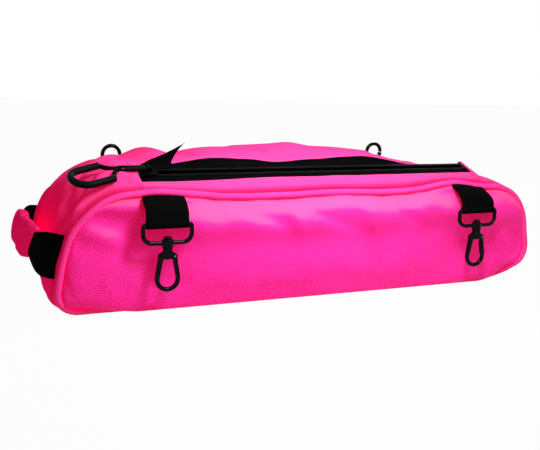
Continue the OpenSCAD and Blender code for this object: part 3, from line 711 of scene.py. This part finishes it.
def panel_cloth(bag, c):
    """Ballistic polyester: thick basket weave that catches light on each crossing. A painted red glow stands for its
    daylight-fluorescent dye and keeps its shade crimson instead of dull; it is paler with painted sheen facing up."""
    return woven("ballistic_polyester_pink", c.panel, c.panel_deep, bag.weave, 45, 0.4, 1.0, c.painted_groove_shade, "#FF5FAD",
                 Specular_IOR_Level=0.1, Specular_Tint=linear("#FFC8EC"), Sheen_Weight=0.2, Sheen_Roughness=0.4,
                 Sheen_Tint=linear("#FF70D0"), Emission_Color=linear("#FF0030"), Emission_Strength=0.42)


def gusset_cloth(c):
    """Fine polyester satin, smoother than the panels, with the same dye, painted red glow and painted sheen; its twill
    is drawn at 1.4 mm to show.
    """
    return woven("satin_polyester_pink", c.gusset, c.gusset_deep, 1.4, 30, 0.42, 0.15, c.painted_groove_shade, "#F4489D",
                 Specular_IOR_Level=0.0, Specular_Tint=linear("#FFA8E0"), Sheen_Weight=0.04, Sheen_Roughness=0.3,
                 Sheen_Tint=linear("#FF58CC"), Emission_Color=linear("#FF0048"), Emission_Strength=0.44)


def grained(name, colour, other, grain, rough, bump_deep, **sockets):
    """A finish whose colour and surface vary in small uneven grains."""
    mat, tree, shader = finish(name)
    if not tree:
        return mat
    where = add(tree, "TexCoord")
    grit = add(tree, "TexNoise", {"Vector": where.outputs["Object"]}, Scale=1 / (grain * MM), Detail=4.0)
    colours = add(tree, "ValToRGB", {"Fac": grit.outputs["Fac"]})
    colours.color_ramp.elements[0].position = 0.35
    colours.color_ramp.elements[0].color = linear(other)
    colours.color_ramp.elements[1].position = 0.65
    colours.color_ramp.elements[1].color = linear(colour)
    tree.links.new(colours.outputs["Color"], shader.inputs["Base Color"])
    bump = add(tree, "Bump", {"Height": grit.outputs["Fac"]}, Strength=bump_deep, Distance=0.0003)
    tree.links.new(bump.outputs["Normal"], shader.inputs["Normal"])
    rub = add(tree, "MapRange", {"Value": grit.outputs["Fac"]})
    vary = 0.08
    rub.inputs["To Min"].default_value = rough - vary
    rub.inputs["To Max"].default_value = rough + vary
    tree.links.new(rub.outputs["Result"], shader.inputs["Roughness"])
    tell(shader, **sockets)
    return mat


def lining_cloth(c):
    """Polyurethane-coated lining: dull dark film on the inside of the fabric."""
    return grained("coated_lining_black", c.lining, "#0B0B0C", 4.0, 0.55, 0.1, Specular_IOR_Level=0.1)


def webbing_cloth(c):
    """Black polyester webbing: a ribbed flat weave with rows across the strap."""
    return woven("polyester_webbing_black", "#0A0A0B", c.webbing, 2.2, 0, 0.85, 0.6, Specular_IOR_Level=0.01)


def tape_cloth(c):
    """Zip tape: fine dull black twill, drawn at 1.3 mm so that it shows."""
    return woven("zip_tape_black", "#09090A", c.tape, 1.3, 45, 0.85, 0.35, Specular_IOR_Level=0.01)


def black_nickel(c):
    """Black nickel plating on a die casting: dark mirror with faint unevenness."""
    return grained("black_nickel_plating", c.nickel, "#101012", 3.0, 0.12, 0.02, Metallic=1.0)


# Pieces

class BAG_OT_panels(bpy.types.Operator):
    """Front and back panels, cut to the loaf outline and eased over the stuffing"""

    bl_idname = "bag.panels"
    bl_label = "Front and back panels"

    def execute(self, context):
        bag, c = Bag(), context.scene.bag_colours
        low = next(s for s, x, z, n in bag.half if n > -math.pi / 4)
        high = next(s for s, x, z, n in bag.half if n > math.pi / 4)
        whole = 2 * bag.reach
        for name, side in (("front_panel", -1), ("back_panel", 1)):
            def rim(s):
                return bag.rim(s, side, -bag.piping / 2 - 0.3)

            def place(a, b):
                base = rim(-low + 2 * low * a)
                top = rim(whole - high - (whole - 2 * high) * a)
                right = rim(low + (high - low) * b)
                left = rim(whole - low - (high - low) * b)
                p = base.lerp(top, b) + left.lerp(right, a)
                p -= rim(-low).lerp(rim(low), a).lerp(rim(whole - high).lerp(rim(high), a), b)
                x, z = p.x, p.z
                wide, tall = PANEL_CUT
                edge = min(a * wide, (1 - a) * wide, b * tall, (1 - b) * tall)
                groove = GROOVE_RISE * ease((edge - GROOVE_FROM) / GROOVE_RUN) - GROOVE_DEEP
                p.y += side * (groove + (bag.relief(x, z) - RELIEF_OFF) * ease((edge - RELIEF_FROM) / RELIEF_RUN))
                q = bag.settle(p)
                t = b * tall / ROLL_CUT
                if t < 1:
                    y, z = (sum(k * v[i] for k, v in zip(cubic(t), ROLL_UNDER)) for i in (0, 1))
                    z += bag.settle(base).z - base.z
                    share = ease((bag.bx + ROLL_PAST - abs(x)) / ROLL_FADE) * (1 - ease(2 * t - 1))
                    q = q.lerp(Vector((q.x, side * y, z)), share)
                return q

            # Painted shade darkens its left, right and top edges beside the piping
            cloth = soft_grid(name, 170, 44, place, lambda p: (0, side, 0), (bag.length, bag.side_height), 0.6, "lrt")
            foot = 16 * MM
            low_rows = [v.index for v in cloth.data.vertices if v.co.z < foot]
            drape(cloth, edge_points(cloth) + low_rows, 0.012, 1.2, 2.0)
            shaped(cloth, "CORRECTIVE_SMOOTH", iterations=3, use_only_smooth=True, use_pin_boundary=True)
            sewn_shell(cloth, 2.6 if side < 0 else 4.8)
            worn(cloth, "bag", "pink_panel_fabric", panel_cloth(bag, c), name, inside=lining_cloth(c))
        return {"FINISHED"}


class BAG_OT_gusset(bpy.types.Operator):
    """Ends, base and top strips of the gusset"""

    bl_idname = "bag.gusset"
    bl_label = "Gusset"

    def execute(self, context):
        bag, c = Bag(), context.scene.bag_colours
        cloth, lining = gusset_cloth(c), lining_cloth(c)
        # Width in mm of the painted shade beside the piped seams
        groove = 7.5
        centre = Vector((0, 0, 50 * MM))
        # The ends run from the base's straight part, all but a hair, up to a lap over the top strips
        hair, lap_over = 0.01, 2
        start = next(s for s, x, z, n in bag.half if x >= bag.bx - hair)
        stop = bag.reach - bag.seam + lap_over
        # Their bulge over the stuffing and where up the side it ends; the lip at their lap, how long and its run
        bulge, bulge_end, lip, lip_long, lip_run = 2.2, 0.66, 0.8, 4, 2
        for name, side in (("left_end_panel", -1), ("right_end_panel", 1)):
            def place(a, b):
                y = -bag.yp + 2 * bag.yp * b
                s = start + (stop - start) * a
                inner = max(-bag.yg, min(bag.yg, y))
                p, n = bag.end(s, inner, side)
                p.y = y
                up = s - start
                # Folds and bulge die away at the seams
                inset = ease(min(b, 1 - b) * 9) * ease((1 - a) * 9) * ease(a * 8)
                lift = waves(up, y, END_WAVES[side])
                for fold in END_FOLDS:
                    lift += ridge(up, y, *fold)
                lift += bulge * math.sin(math.pi * min(1, a / bulge_end)) * ease(4 * b) * ease(4 - 4 * b)
                lap = lip * ease((up - stop + start + lip_long) / lip_run) - bag.tuck(y)
                p.x += (lift * inset + lap) * math.cos(n)
                p.z += (lift * inset + lap) * math.sin(n)
                p.x *= side
                return bag.settle(p)

            piece = soft_grid(name, 56, 60, place, lambda p: p - centre, (stop - start, bag.depth), 0.0, "bt", groove)
            drape(piece, edge_points(piece), 0.02, 1.0, 2.5)
            sewn_shell(piece, 2.2)
            worn(piece, "bag", "pink_gusset_fabric", cloth, name, inside=lining)

        for name, y0, y1, nv, edge in (
                ("front_zip_strip", -bag.yp, bag.zip_y - bag.bare_tape * math.cos(bag.tilt), 16, "b"),
                ("rear_zip_strip", bag.zip_y + bag.bare_tape * math.cos(bag.tilt), bag.yp, 36, "t")):
            front = name == "front_zip_strip"
            # How far the front strip is dished, and the runs in which the rear one's folds die away at its edges
            dish, near_run, rear_run = 0.9, 16, 14

            def place(a, b):
                x = -bag.seam + 2 * bag.seam * a
                near = y0 + (0 if front else along(REAR_LAP, x))
                y = near + (y1 + (along(FRONT_LAP, x) if front else 0) - near) * b
                inner = max(-bag.yg, min(bag.yg, y))
                p = bag.top(x, inner)
                p.y = y
                p.z -= bag.tuck(y)
                ends = ease(min(a, 1 - a) * 14)
                if front:
                    p.z += ends * (waves(x, y, FRONT_STRIP_WAVES) - dish * math.sin(math.pi * b))
                else:
                    inset = ends * ease((y - near) / near_run) * ease((y1 - y) / rear_run)
                    p.z += inset * waves(x, y, REAR_STRIP_WAVES)
                    for fold in TOP_FOLDS:
                        p.z += inset * ridge(x, y, *fold)
                return p

            piece = soft_grid(name, 120, nv, place, lambda p: (0, 0, 1), (2 * bag.seam, y1 - y0), 0.0, edge, groove)
            if not front:
                drape(piece, edge_points(piece), 0.012, 1.0, 2.0)
            sewn_shell(piece, 1.9)
            worn(piece, "bag", "pink_gusset_fabric", cloth, name, inside=lining)

        def floor(a, b):
            x, y = -bag.bx + 2 * bag.bx * a, -bag.yp + 2 * bag.yp * b
            return bag.settle(Vector((x, y, 1.8 * ease(abs(y) - bag.yg + 1.2))))

        base = soft_grid("base_panel", 60, 24, floor, lambda p: (0, 0, -1), (2 * bag.bx, bag.depth))
        two_sided(base)
        shaped(base, "SOLIDIFY", thickness=2.6 * MM, offset=-1, material_offset=1)
        worn(base, "bag", "pink_gusset_fabric", cloth, "base_panel", inside=lining)
        return {"FINISHED"}


class BAG_OT_piping(bpy.types.Operator):
    """Corded piping round the front and back panels"""

    bl_idname = "bag.piping"
    bl_label = "Piping"

    def execute(self, context):
        bag, c = Bag(), context.scene.bag_colours
        # Bias tape over a cord: tight fine weave, a little glossy along its crest, with a faint painted red glow
        tape = woven("bias_tape_pink", c.piping, c.gusset, 1.2, 45, 0.38, 0.3, Specular_IOR_Level=0.03,
                     Sheen_Weight=0.03, Sheen_Roughness=0.35, Sheen_Tint=linear("#FF58CC"),
                     Specular_Tint=linear("#FF60C8"), Emission_Color=linear("#FF0040"), Emission_Strength=0.32)
        top_run, uneven, foot = 90 * MM, 0.25, 12
        for name, side in (("front_piping", -1), ("rear_piping", 1)):
            path = []
            for s in spread(0, 2 * bag.reach, 330)[:-1]:
                p = bag.rim(s, side, -bag.piping / 2)
                p += Vector((0, uneven * ripple(s, 0, 18, 21), uneven * ripple(s, 9, 15, 22) * ease(p.z / foot)))
                path.append(bag.settle(p))
            cord = tube(name, path, bag.piping / 2, closed=True, sides=5)
            # Inside the bag the top run is bound in the lining
            two_sided(cord)
            for face in cord.data.polygons:
                if face.center.z > top_run and face.normal.y * side < -0.5 and face.normal.z < 0.1:
                    face.material_index = 1
            worn(cord, "bag", "pink_piping", tape, name, inside=lining_cloth(c))
        return {"FINISHED"}


class BAG_OT_zip(bpy.types.Operator):
    """Zip tapes, teeth, stops and the turned-up end of the rear tape"""

    bl_idname = "bag.zip"
    bl_label = "Zip"

    def execute(self, context):
        bag, c = Bag(), context.scene.bag_colours
        cloth = tape_cloth(c)
        # Coiled nylon: near black, with a soft gloss on each tooth
        nylon = grained("nylon_coil_black", "#141416", c.coil, 2.0, 0.4, 0.05, IOR=1.53, Specular_IOR_Level=0.2)
        tape_up, tooth_in, tooth_up, hem = 0.4, 1.1, 1.15, 0.4
        for name, side in (("front", -1), ("rear", 1)):
            def place(a, b):
                x = -bag.seam + 2 * bag.seam * a
                u = bag.slit / 2 + hem + (bag.tape - hem) * b
                return bag.on_zip(x, side * u, tape_up + bag.roll(x, side * u))

            tape = soft_grid("zip_tape_" + name, 120, 14, place, lambda p: (0, 0, 1), (2 * bag.seam, bag.tape))
            shaped(tape, "SOLIDIFY", thickness=0.8 * MM, offset=-1)
            worn(tape, "bag", "zip_tape", cloth, "zip_tape_" + name)
            bpy.ops.object.select_all(action="DESELECT")
            bpy.ops.mesh.primitive_torus_add(major_segments=8, minor_segments=5, major_radius=0.72 * MM,
                                             minor_radius=0.34 * MM)
            seed = bpy.context.object
            spots = []
            for x in spread(-bag.teeth, bag.teeth, 235):
                u = side * (bag.slit / 2 + tooth_in)
                at = bag.on_zip(x, u, tooth_up + bag.roll(x, u)) * MM
                spots.append(Matrix.Translation(at) @ Matrix.Rotation(bag.tilt, 4, "X")
                             @ Matrix.Rotation(math.pi / 2, 4, "Y") @ Matrix.Rotation(0.3 * side, 4, "X"))
            coil = scattered("zip_coil_" + name, seed, spots)
            worn(coil, "bag", "zip_coil", nylon, "zip_coil_" + name)
        for name in ("zip_stop_left", "zip_stop_right"):
            stop = solid_copy(name, name)
            for v in stop.data.vertices:
                v.co.z += bag.roll(v.co.x / MM, 0) * MM
            edit(stop, ("dissolve_limited", {"angle_limit": 0.02}))
            shaped(stop, "BEVEL", width=0.4 * MM, segments=3)
            worn(stop, "bag", "black_slider_metal", black_nickel(c), name)

        wide, fold = 36, 0.35

        def flap(a, b):
            """The tape's loose end: flat up to its fold, then standing up to a tip on its right."""
            x0 = -bag.seam + 1
            root = bag.bare_tape + along(REAR_LAP, x0 + wide * a)
            foot = Vector((x0 + wide * a, root - 1.5 - 5 * a, 1.3))
            lip = Vector((x0 + 1 + wide * a, root + 1.2, 3.4))
            tip = Vector((x0 + 50, bag.bare_tape + 7.2, 19.6))
            if b < fold:
                p = foot.lerp(lip, b / fold)
            else:
                t = (b - fold) / (1 - fold) * (0.3 + 0.7 * a)
                p = lip.lerp(tip, t)
                p.y += 2.4 * math.sin(math.pi * t) * (0.4 + 0.6 * a) + 1.2 * math.sin(3 * a) * t
            return bag.on_zip(p.x, p.y, p.z)

        loose = soft_grid("zip_tape_flap", 24, 24, flap, lambda p: (0, -1, 0), (40, 20))
        shaped(loose, "SOLIDIFY", thickness=0.9 * MM, offset=0)
        smooth(shaped(loose, "SUBSURF", levels=1, render_levels=1))
        worn(loose, "bag", "zip_tape", cloth, "zip_tape_flap")
        return {"FINISHED"}


class BAG_OT_pull(bpy.types.Operator):
    """Zip slider with its pull tab, cord and moulded grip"""

    bl_idname = "bag.pull"
    bl_label = "Slider and pull"

    def execute(self, context):
        bag, c = Bag(), context.scene.bag_colours
        # Lacquered zinc casting: flat black with hardly any gloss
        lacquer = grained("black_lacquered_casting", c.lacquer, "#040405", 2.0, 0.4, 0.04, Specular_IOR_Level=0.015)
        for name, body, wide in (("zip_slider", "zip_slider", 0.35), ("zip_pull_tab", "zip_pull", 0.3)):
            piece = solid_copy(name, name)
            edit(piece, ("dissolve_limited", {"angle_limit": 0.02}))
            shaped(piece, "BEVEL", width=wide * MM, segments=2, limit_method="ANGLE", angle_limit=0.6)
            smooth(piece, 0.6)
            worn(piece, body, "black_slider_metal", lacquer, name)
        pin = solid_copy("zip_pull_pin", "zip_pull_pin")
        worn(pin, "zip_slider", "black_slider_metal", lacquer, "zip_pull_pin")
        # The slider rests this far in from the left end of the teeth, and its tab is this long
        rest, tab = 8.5, 27
        bar_x = -bag.teeth + rest - tab
        # The loop's turn, its height over the zip, the cord's reach, and half the grip's width with its arms' length
        turn, w, reach, wide, arm = math.radians(24), 6.3, 14, 12.5, 22
        # Half thickness of the grip, of the cord's strands and of the cord where it goes round the tab's bar
        bar, strand, eye_cord = 3.25, 2.1, 0.68

        def hung(x, u):
            """Point of the pull loop, measured from the tab's end bar along the loop and across it."""
            cos, sin = math.cos(turn), math.sin(turn)
            return bag.on_zip(bar_x + x * cos - u * sin, x * sin + u * cos, w)

        arms = [[hung(-reach - arm * t, side * wide) for t in spread(0, 1, 8)] for side in (-1, 1)]
        bow = [hung(-reach - arm - wide * math.sin(t), -wide * math.cos(t)) for t in spread(0, math.pi, 26)]
        grip = tube("zip_pull_grip", arms[0] + bow[1:-1] + arms[1][::-1], bar, sides=6)
        shaped(grip, "BEVEL", width=0.8 * MM, segments=3, limit_method="ANGLE", angle_limit=1.0)
        # Moulded rubber: matt black, finely grained
        rubber = grained("moulded_rubber_black", "#0D0D0E", c.rubber, 1.2, 0.5, 0.12, Specular_IOR_Level=0.04)
        worn(grip, "zip_pull_loop", "pull_rubber", rubber, "zip_pull_grip")
        strands = []
        for side in (-1, 1):
            near, far = Vector((-1.9, side * 0.9)), Vector((-reach - 0.6, side * wide))
            line = []
            for t in spread(0, 1, 14):
                p = near.lerp(far, t) + Vector((-2.2, -1.2 * side)) * math.sin(math.pi * t) * (1 - 0.5 * t)
                line.append(hung(p.x, p.y))
            strands.append(tube("strand", line, strand, sides=4))
        ring = 1.95
        eye = [bag.on_zip(bar_x + ring * math.cos(t), 0, w + ring * math.sin(t))
               for t in spread(0, 2 * math.pi, 24)[:-1]]
        strands.append(tube("eye", eye, eye_cord, closed=True, sides=3))
        cord = joined("zip_pull_cord", strands)
        # Braided polyester cord: coarse and matt
        braid = grained("braided_cord_black", "#0C0C0D", c.cord, 0.9, 0.7, 0.5, Specular_IOR_Level=0.02)
        worn(cord, "zip_pull_loop", "pull_cord", braid, "zip_pull_cord")
        return {"FINISHED"}


class BAG_OT_tabs(bpy.types.Operator):
    """Doubled webbing tabs that hold the rings"""

    bl_idname = "bag.tabs"
    bl_label = "Webbing tabs"

    def execute(self, context):
        bag, c = Bag(), context.scene.bag_colours
        cloth = webbing_cloth(c)
        # The ring's half thickness, its play in the webbing, and half the way between the doubled layers
        wire, play, half = 2, 0.06, 0.8
        loop = wire + play + half
        reach = wire + play + 2 * half
        for place, hand, sx in CORNERS:
            rear = place == "rear"
            pz = bag.rear_z if rear else bag.front_z
            top = Vector((bag.yp + 1.5 + 1.65, bag.side_height - bag.piping + (0.6 if rear else 2.6)))
            end = Vector((bag.pivot_y, pz)) + (Vector((-0.75, 0.5)) if rear else Vector((0, 0.7))) * reach
            fall = top.y - end.y
            # The webbing hangs over the piping from its seam; the rear tabs lie closer, and come to the ring from above
            if rear:
                bend = (top, top + Vector((0.3, -0.35 * fall)), end + Vector((-7, 5)), end)
            else:
                bend = (top, top + Vector((6, -3)), end + Vector((0, 0.7 * fall)), end)

            def stem(t):
                """Point and normal of the webbing between its seam and the ring."""
                p = sum((k * v for k, v in zip(cubic(t), bend)), Vector((0, 0)))
                slopes = 3 * (1 - t) ** 2, 6 * t * (1 - t), 3 * t * t
                d = sum((k * (b - a) for k, a, b in zip(slopes, bend, bend[1:])), Vector((0, 0))).normalized()
                return p, Vector((d.y, -d.x))

            # Down the outer layer, round the ring and up the inner layer
            mid = Vector((bag.pivot_y, pz))
            outer, inner = [], []
            for t in spread(0, 0.9, 12):
                p, n = stem(t)
                outer.append(p - n * half)
                inner.append(p + n * half)
            first = outer[-1] - mid
            last = inner[-1] - mid
            a0 = math.atan2(first.y, first.x)
            a1 = math.atan2(last.y, last.x)
            while a1 > a0:
                a1 -= 2 * math.pi
            turn = [mid + loop * Vector((math.cos(a), math.sin(a))) for a in spread(a0, a1, 22)]
            path = outer + turn[1:-1] + inner[::-1]
            gone = [0.0]
            for p, q in zip(path, path[1:]):
                gone.append(gone[-1] + (q - p).length)
            sign = 1 if rear else -1

            def place_web(a, b):
                s = a * gone[-1]
                k = next((i for i in range(1, len(gone)) if gone[i] >= s), len(gone) - 1)
                t = (s - gone[k - 1]) / max(1e-6, gone[k] - gone[k - 1])
                p = path[k - 1].lerp(path[k], t)
                x = sx * bag.tab_reach + (b - 0.5) * bag.webbing
                hung = ease((p.y - pz - 6) / (top.y - pz - 6))
                lean = 4 * hung if (place, hand) == ("front", "right") else 0
                dip = bag.droop(x - lean, sign) - bag.droop(sx * bag.tab_reach - lean, sign)
                return Vector((x - lean, sign * p.x, p.y - dip * hung))

            hub = Vector((sx * bag.tab_reach, sign * (bag.pivot_y - 4), pz + 8)) * MM
            web = soft_grid(f"tab_{place}_{hand}", 64, 10, place_web, lambda p: p - hub, (gone[-1], bag.webbing))
            shaped(web, "SOLIDIFY", thickness=1.5 * MM, offset=0)
            shaped(web, "BEVEL", width=0.4 * MM, segments=2, limit_method="ANGLE", angle_limit=1.0)
            smooth(web, 0.7)
            worn(web, "bag", "black_webbing", cloth, f"tab_{place}_{hand}")
        return {"FINISHED"}


class BAG_OT_hooks(bpy.types.Operator):
    """Rings, swivel hooks, gates, pins and springs"""

    bl_idname = "bag.hooks"
    bl_label = "Snap hooks"

    def execute(self, context):
        c = context.scene.bag_colours
        plating = black_nickel(c)
        # Drawn spring steel: grey and bright
        steel = grained("spring_steel", "#8A8A8E", "#77777B", 1.5, 0.3, 0.05, Metallic=1.0)
        for place, hand, _ in CORNERS:
            key = f"{place}_{hand}"
            ring = [v.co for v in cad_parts[f"ring_{key}"].data.vertices]
            low, high = ([f(p[i] for p in ring) for i in range(3)] for f in (min, max))
            # Each casting is remeshed at a voxel size in mm and rounded off by so many rounds of smoothing
            for part, voxel, rounds in (("ring", 0.42, 4), ("hook", 0.42, 16), ("gate", 0.3, 4)):
                piece = solid_copy(f"{part}_{key}", f"{part}_{key}")
                shaped(piece, "REMESH", mode="VOXEL", voxel_size=voxel * MM)
                # The swivel stays as cut, so that it turns freely in the ring
                cast = piece.vertex_groups.new(name="cast")
                cast.add([v.index for v in piece.data.vertices if part != "hook" or any(
                    not a - MM < q < b + MM for a, q, b in zip(low, v.co, high))], 1.0, "REPLACE")
                shaped(piece, "SMOOTH", factor=0.5, iterations=rounds, vertex_group="cast")
                smooth(piece)
                worn(piece, f"{part}_{key}", "black_nickel", plating, f"{part}_{key}")
            for part in ("gate_pin", "gate_spring"):
                piece = solid_copy(f"{part}_{key}", f"{part}_{key}")
                shaped(piece, "BEVEL", width=0.15 * MM, segments=2, limit_method="ANGLE", angle_limit=0.8)
                worn(piece, f"hook_{key}", "steel", steel, f"{part}_{key}")
        return {"FINISHED"}


class BAG_OT_handle(bpy.types.Operator):
    """Grab handle on the left end: webbing strap and padded grip"""

    bl_idname = "bag.handle"
    bl_label = "Grab handle"

    def execute(self, context):
        bag, c = Bag(), context.scene.bag_colours
        # Half the strap's span between its seams, and how far its bow is drawn in
        ye = bag.yg - 0.2 - 1.2
        flat = 0.8
        # Distance from the middle where the strap starts to widen from its gathers, its run, and its rise in the grip
        gathered, gather_run, rise = 46, 34, 3.5

        def strap(a, b):
            """The strap from seam to seam, gathered where the grip is sewn round it."""
            t = math.pi * (0.006 + 0.988 * a)
            y = -ye * math.cos(t)
            out = max(0.4, bag.handle_out * flat * math.sin(t))
            open_out = ease((abs(y) - gathered) / gather_run)
            up = (b - 0.5) * bag.webbing * (0.5 + 0.5 * open_out) + rise * (1 - open_out)
            return bag.settle(bag.on_left_end(out, y, up))

        hub = bag.on_left_end(0, 0, 0) * MM
        web = soft_grid("handle_webbing", 90, 12, strap, lambda p: p - hub, (230, bag.webbing))
        shaped(web, "SOLIDIFY", thickness=2.3 * MM, offset=0)
        shaped(web, "BEVEL", width=0.5 * MM, segments=2, limit_method="ANGLE", angle_limit=1.0)
        smooth(web, 0.7)
        worn(web, "bag", "black_webbing", webbing_cloth(c), "handle_webbing")
        # The grip's section: half its height, how far it is lifted, how round it is; its creases are folds as above
        half, lift, round_off = 16, 4, 0.6
        crease, hollow = (-40, -4, 20, 7, 4, 1.2), (-48, 6, -10, -10, 4, 1.4)

        def pad(a, b):
            """The grip round the strap, plump in the middle and drawn in at its ends."""
            turn = 2 * math.pi * b
            cx, sx = math.cos(turn), math.sin(turn)
            puff = 0.55 + 0.45 * math.sqrt(max(0.0, 1 - (2 * a - 1) ** 4))
            up = half * math.copysign(abs(sx) ** round_off, sx) * (0.55 + 0.45 * puff)
            y = -bag.pad_length / 2 + bag.pad_length * a - (4 + 0.22 * up) * (1 - a)
            root = math.sqrt(1 - (y / ye) ** 2)
            n = math.atan2(bag.handle_out * flat * y, ye * ye * root)
            d = bag.pad_thick / 2 * puff * math.copysign(abs(cx) ** round_off, cx) * (1 + 0.25 * sx)
            d += 0.7 * ripple(y, up, 16, 31) + ridge(y, up, *crease) - ridge(y, up, *hollow)
            out = bag.handle_out * flat * root + d * math.cos(n)
            return bag.settle(bag.on_left_end(out, y + d * math.sin(n), up + lift))

        core = bag.settle(bag.on_left_end(bag.handle_out * flat, 0, lift)) * MM
        sleeve = soft_grid("handle_grip", 30, 48, pad, lambda p: p - core, (bag.pad_length, 100))
        edit(sleeve, ("remove_doubles", {"threshold": 1e-5}))
        drape(sleeve, edge_points(sleeve), 0.03, 1.5, 2.0)
        smooth(shaped(sleeve, "SUBSURF", levels=1, render_levels=1))
        worn(sleeve, "bag", "pink_gusset_fabric", gusset_cloth(c), "handle_grip")
        return {"FINISHED"}


class BAG_OT_stitching(bpy.types.Operator):
    """Rows of topstitching beside the zip"""

    bl_idname = "bag.stitching"
    bl_label = "Topstitching"

    def execute(self, context):
        bag, c = Bag(), context.scene.bag_colours
        # Spun polyester thread: paler than the cloth, with a little sheen
        thread = grained("polyester_thread_pink", c.thread, c.gusset, 0.8, 0.5, 0.2, Sheen_Weight=0.3)
        up = Vector((0, -math.sin(bag.tilt), math.cos(bag.tilt)))
        rows = []
        # Two rows along each strip, at a first and a second distance from its edge, short of the end seams
        first, front_second, rear_second, short = 1.6, 5.0, 6.0, 3
        for u in (-bag.bare_tape - first, -bag.bare_tape - front_second, bag.bare_tape + first,
                  bag.bare_tape + rear_second):
            row = []
            for x in spread(-bag.seam + short, bag.seam - short, 120):
                y = bag.zip_y + u * math.cos(bag.tilt) + along(FRONT_LAP if u < 0 else REAR_LAP, x)
                row.append((bag.top(x, y), up))
            rows.append(row)
        piece = stitched("zip_stitching", rows, bag)
        worn(piece, "bag", "pink_gusset_fabric", thread)
        return {"FINISHED"}


def shown(tree):
    """Output that is 1 for what the camera, metal and glass see, and 0 for what lights the bag."""
    path = add(tree, "LightPath")
    seen = add(tree, "Math", {0: path.outputs["Is Camera Ray"], 1: path.outputs["Is Glossy Ray"]}, operation="MAXIMUM")
    clear = add(tree, "Math", {0: seen.outputs[0], 1: path.outputs["Is Transmission Ray"]}, operation="MAXIMUM")
    return clear.outputs[0]


class BAG_OT_stage(bpy.types.Operator):
    """Pale floor, soft light and the camera"""

    bl_idname = "bag.stage"
    bl_label = "Stage"

    def execute(self, context):
        c = context.scene.bag_colours
        bpy.ops.object.select_all(action="DESELECT")
        bpy.ops.mesh.primitive_plane_add(size=12)
        floor = context.object
        floor.name = "floor"
        # Matt white paper: the lens sees it close to white, and the shadow of the bag still shows on it
        mat, tree, shader = finish("matt_white_paper")
        where = add(tree, "TexCoord")
        grit = add(tree, "TexNoise", {"Vector": where.outputs["Object"]}, Scale=1 / (2.5 * MM))
        bump = add(tree, "Bump", {"Height": grit.outputs["Fac"]}, Strength=0.02, Distance=0.0005)
        tree.links.new(bump.outputs["Normal"], shader.inputs["Normal"])
        tell(shader, Base_Color=linear(c.floor), Roughness=0.9, Specular_IOR_Level=0.1)
        share = add(tree, "MapRange", {"Value": shown(tree)})
        share.inputs["To Max"].default_value = 0.97
        white = add(tree, "Emission", Strength=1.0)
        both = add(tree, "MixShader", {0: share.outputs["Result"], 1: shader.outputs["BSDF"],
                                       2: white.outputs["Emission"]})
        tree.links.new(both.outputs["Shader"], tree.nodes["Material Output"].inputs["Surface"])
        floor.data.materials.append(mat)

        world = bpy.data.worlds.new("studio")
        context.scene.world = world
        world.use_nodes = True
        tree = world.node_tree
        sky = tree.nodes["Background"]
        sky.inputs["Color"].default_value = (1, 1, 1, 1)
        level = add(tree, "MapRange", {"Value": shown(tree)})
        level.inputs["To Min"].default_value = 0.04
        level.inputs["To Max"].default_value = 1.0
        tree.links.new(level.outputs["Result"], sky.inputs["Strength"])

        for name, at, aim, size, power in LAMPS:
            lamp = bpy.data.lights.new(name, "AREA")
            lamp.size = size
            lamp.energy = power
            obj = bpy.data.objects.new(name, lamp)
            context.collection.objects.link(obj)
            obj.location = at
            obj.visible_camera = False
            obj.rotation_euler = (Vector(aim) - Vector(at)).to_track_quat("-Z", "Y").to_euler()

        eye = bpy.data.cameras.new("photo_view")
        eye.sensor_fit = "HORIZONTAL"
        eye.sensor_width = SENSOR
        eye.lens = FOCAL / PICTURE * SENSOR
        yaw, pitch, roll = (math.radians(a) for a in CAMERA_TURN)
        back = Vector((math.sin(yaw) * math.cos(pitch), -math.cos(yaw) * math.cos(pitch), math.sin(pitch)))
        right = Vector((math.cos(yaw), math.sin(yaw), 0))
        upward = right.cross(-back)
        r = right * math.cos(roll) + upward * math.sin(roll)
        u = upward * math.cos(roll) - right * math.sin(roll)
        view = bpy.data.objects.new("photo_view", eye)
        context.collection.objects.link(view)
        view.matrix_world = Matrix.Translation(CAMERA_AT) @ Matrix((r, u, back)).transposed().to_4x4()
        context.scene.camera = view
        context.scene.view_settings.view_transform = "Standard"
        return {"FINISHED"}


STEPS = ("stage", "panels", "gusset", "piping", "zip", "pull", "tabs", "hooks", "handle", "stitching")


class BAG_PT_sidebar(bpy.types.Panel):
    """The bag's pieces, sizes and colours"""

    bl_idname = "BAG_PT_sidebar"
    bl_label = "Shoe bag"
    bl_space_type = "VIEW_3D"
    bl_region_type = "UI"
    bl_category = "Shoe bag"

    def draw(self, context):
        for step in STEPS:
            self.layout.operator("bag." + step)
        for group in (context.scene.bag_sizes, context.scene.bag_colours):
            for name in type(group).__annotations__:
                self.layout.prop(group, name)


CLASSES = (BagSizes, BagColours, BAG_OT_panels, BAG_OT_gusset, BAG_OT_piping, BAG_OT_zip, BAG_OT_pull, BAG_OT_tabs,
           BAG_OT_hooks, BAG_OT_handle, BAG_OT_stitching, BAG_OT_stage, BAG_PT_sidebar)


def register():
    for item in CLASSES:
        bpy.utils.register_class(item)
    bpy.types.Scene.bag_sizes = PointerProperty(type=BagSizes)
    bpy.types.Scene.bag_colours = PointerProperty(type=BagColours)


def unregister():
    del bpy.types.Scene.bag_colours
    del bpy.types.Scene.bag_sizes
    for item in reversed(CLASSES):
        bpy.utils.unregister_class(item)


def main():
    register()
    for step in STEPS:
        if getattr(bpy.ops.bag, step)() != {"FINISHED"}:
            raise RuntimeError("the step did not finish: " + step)


if __name__ == "__main__":
    main()
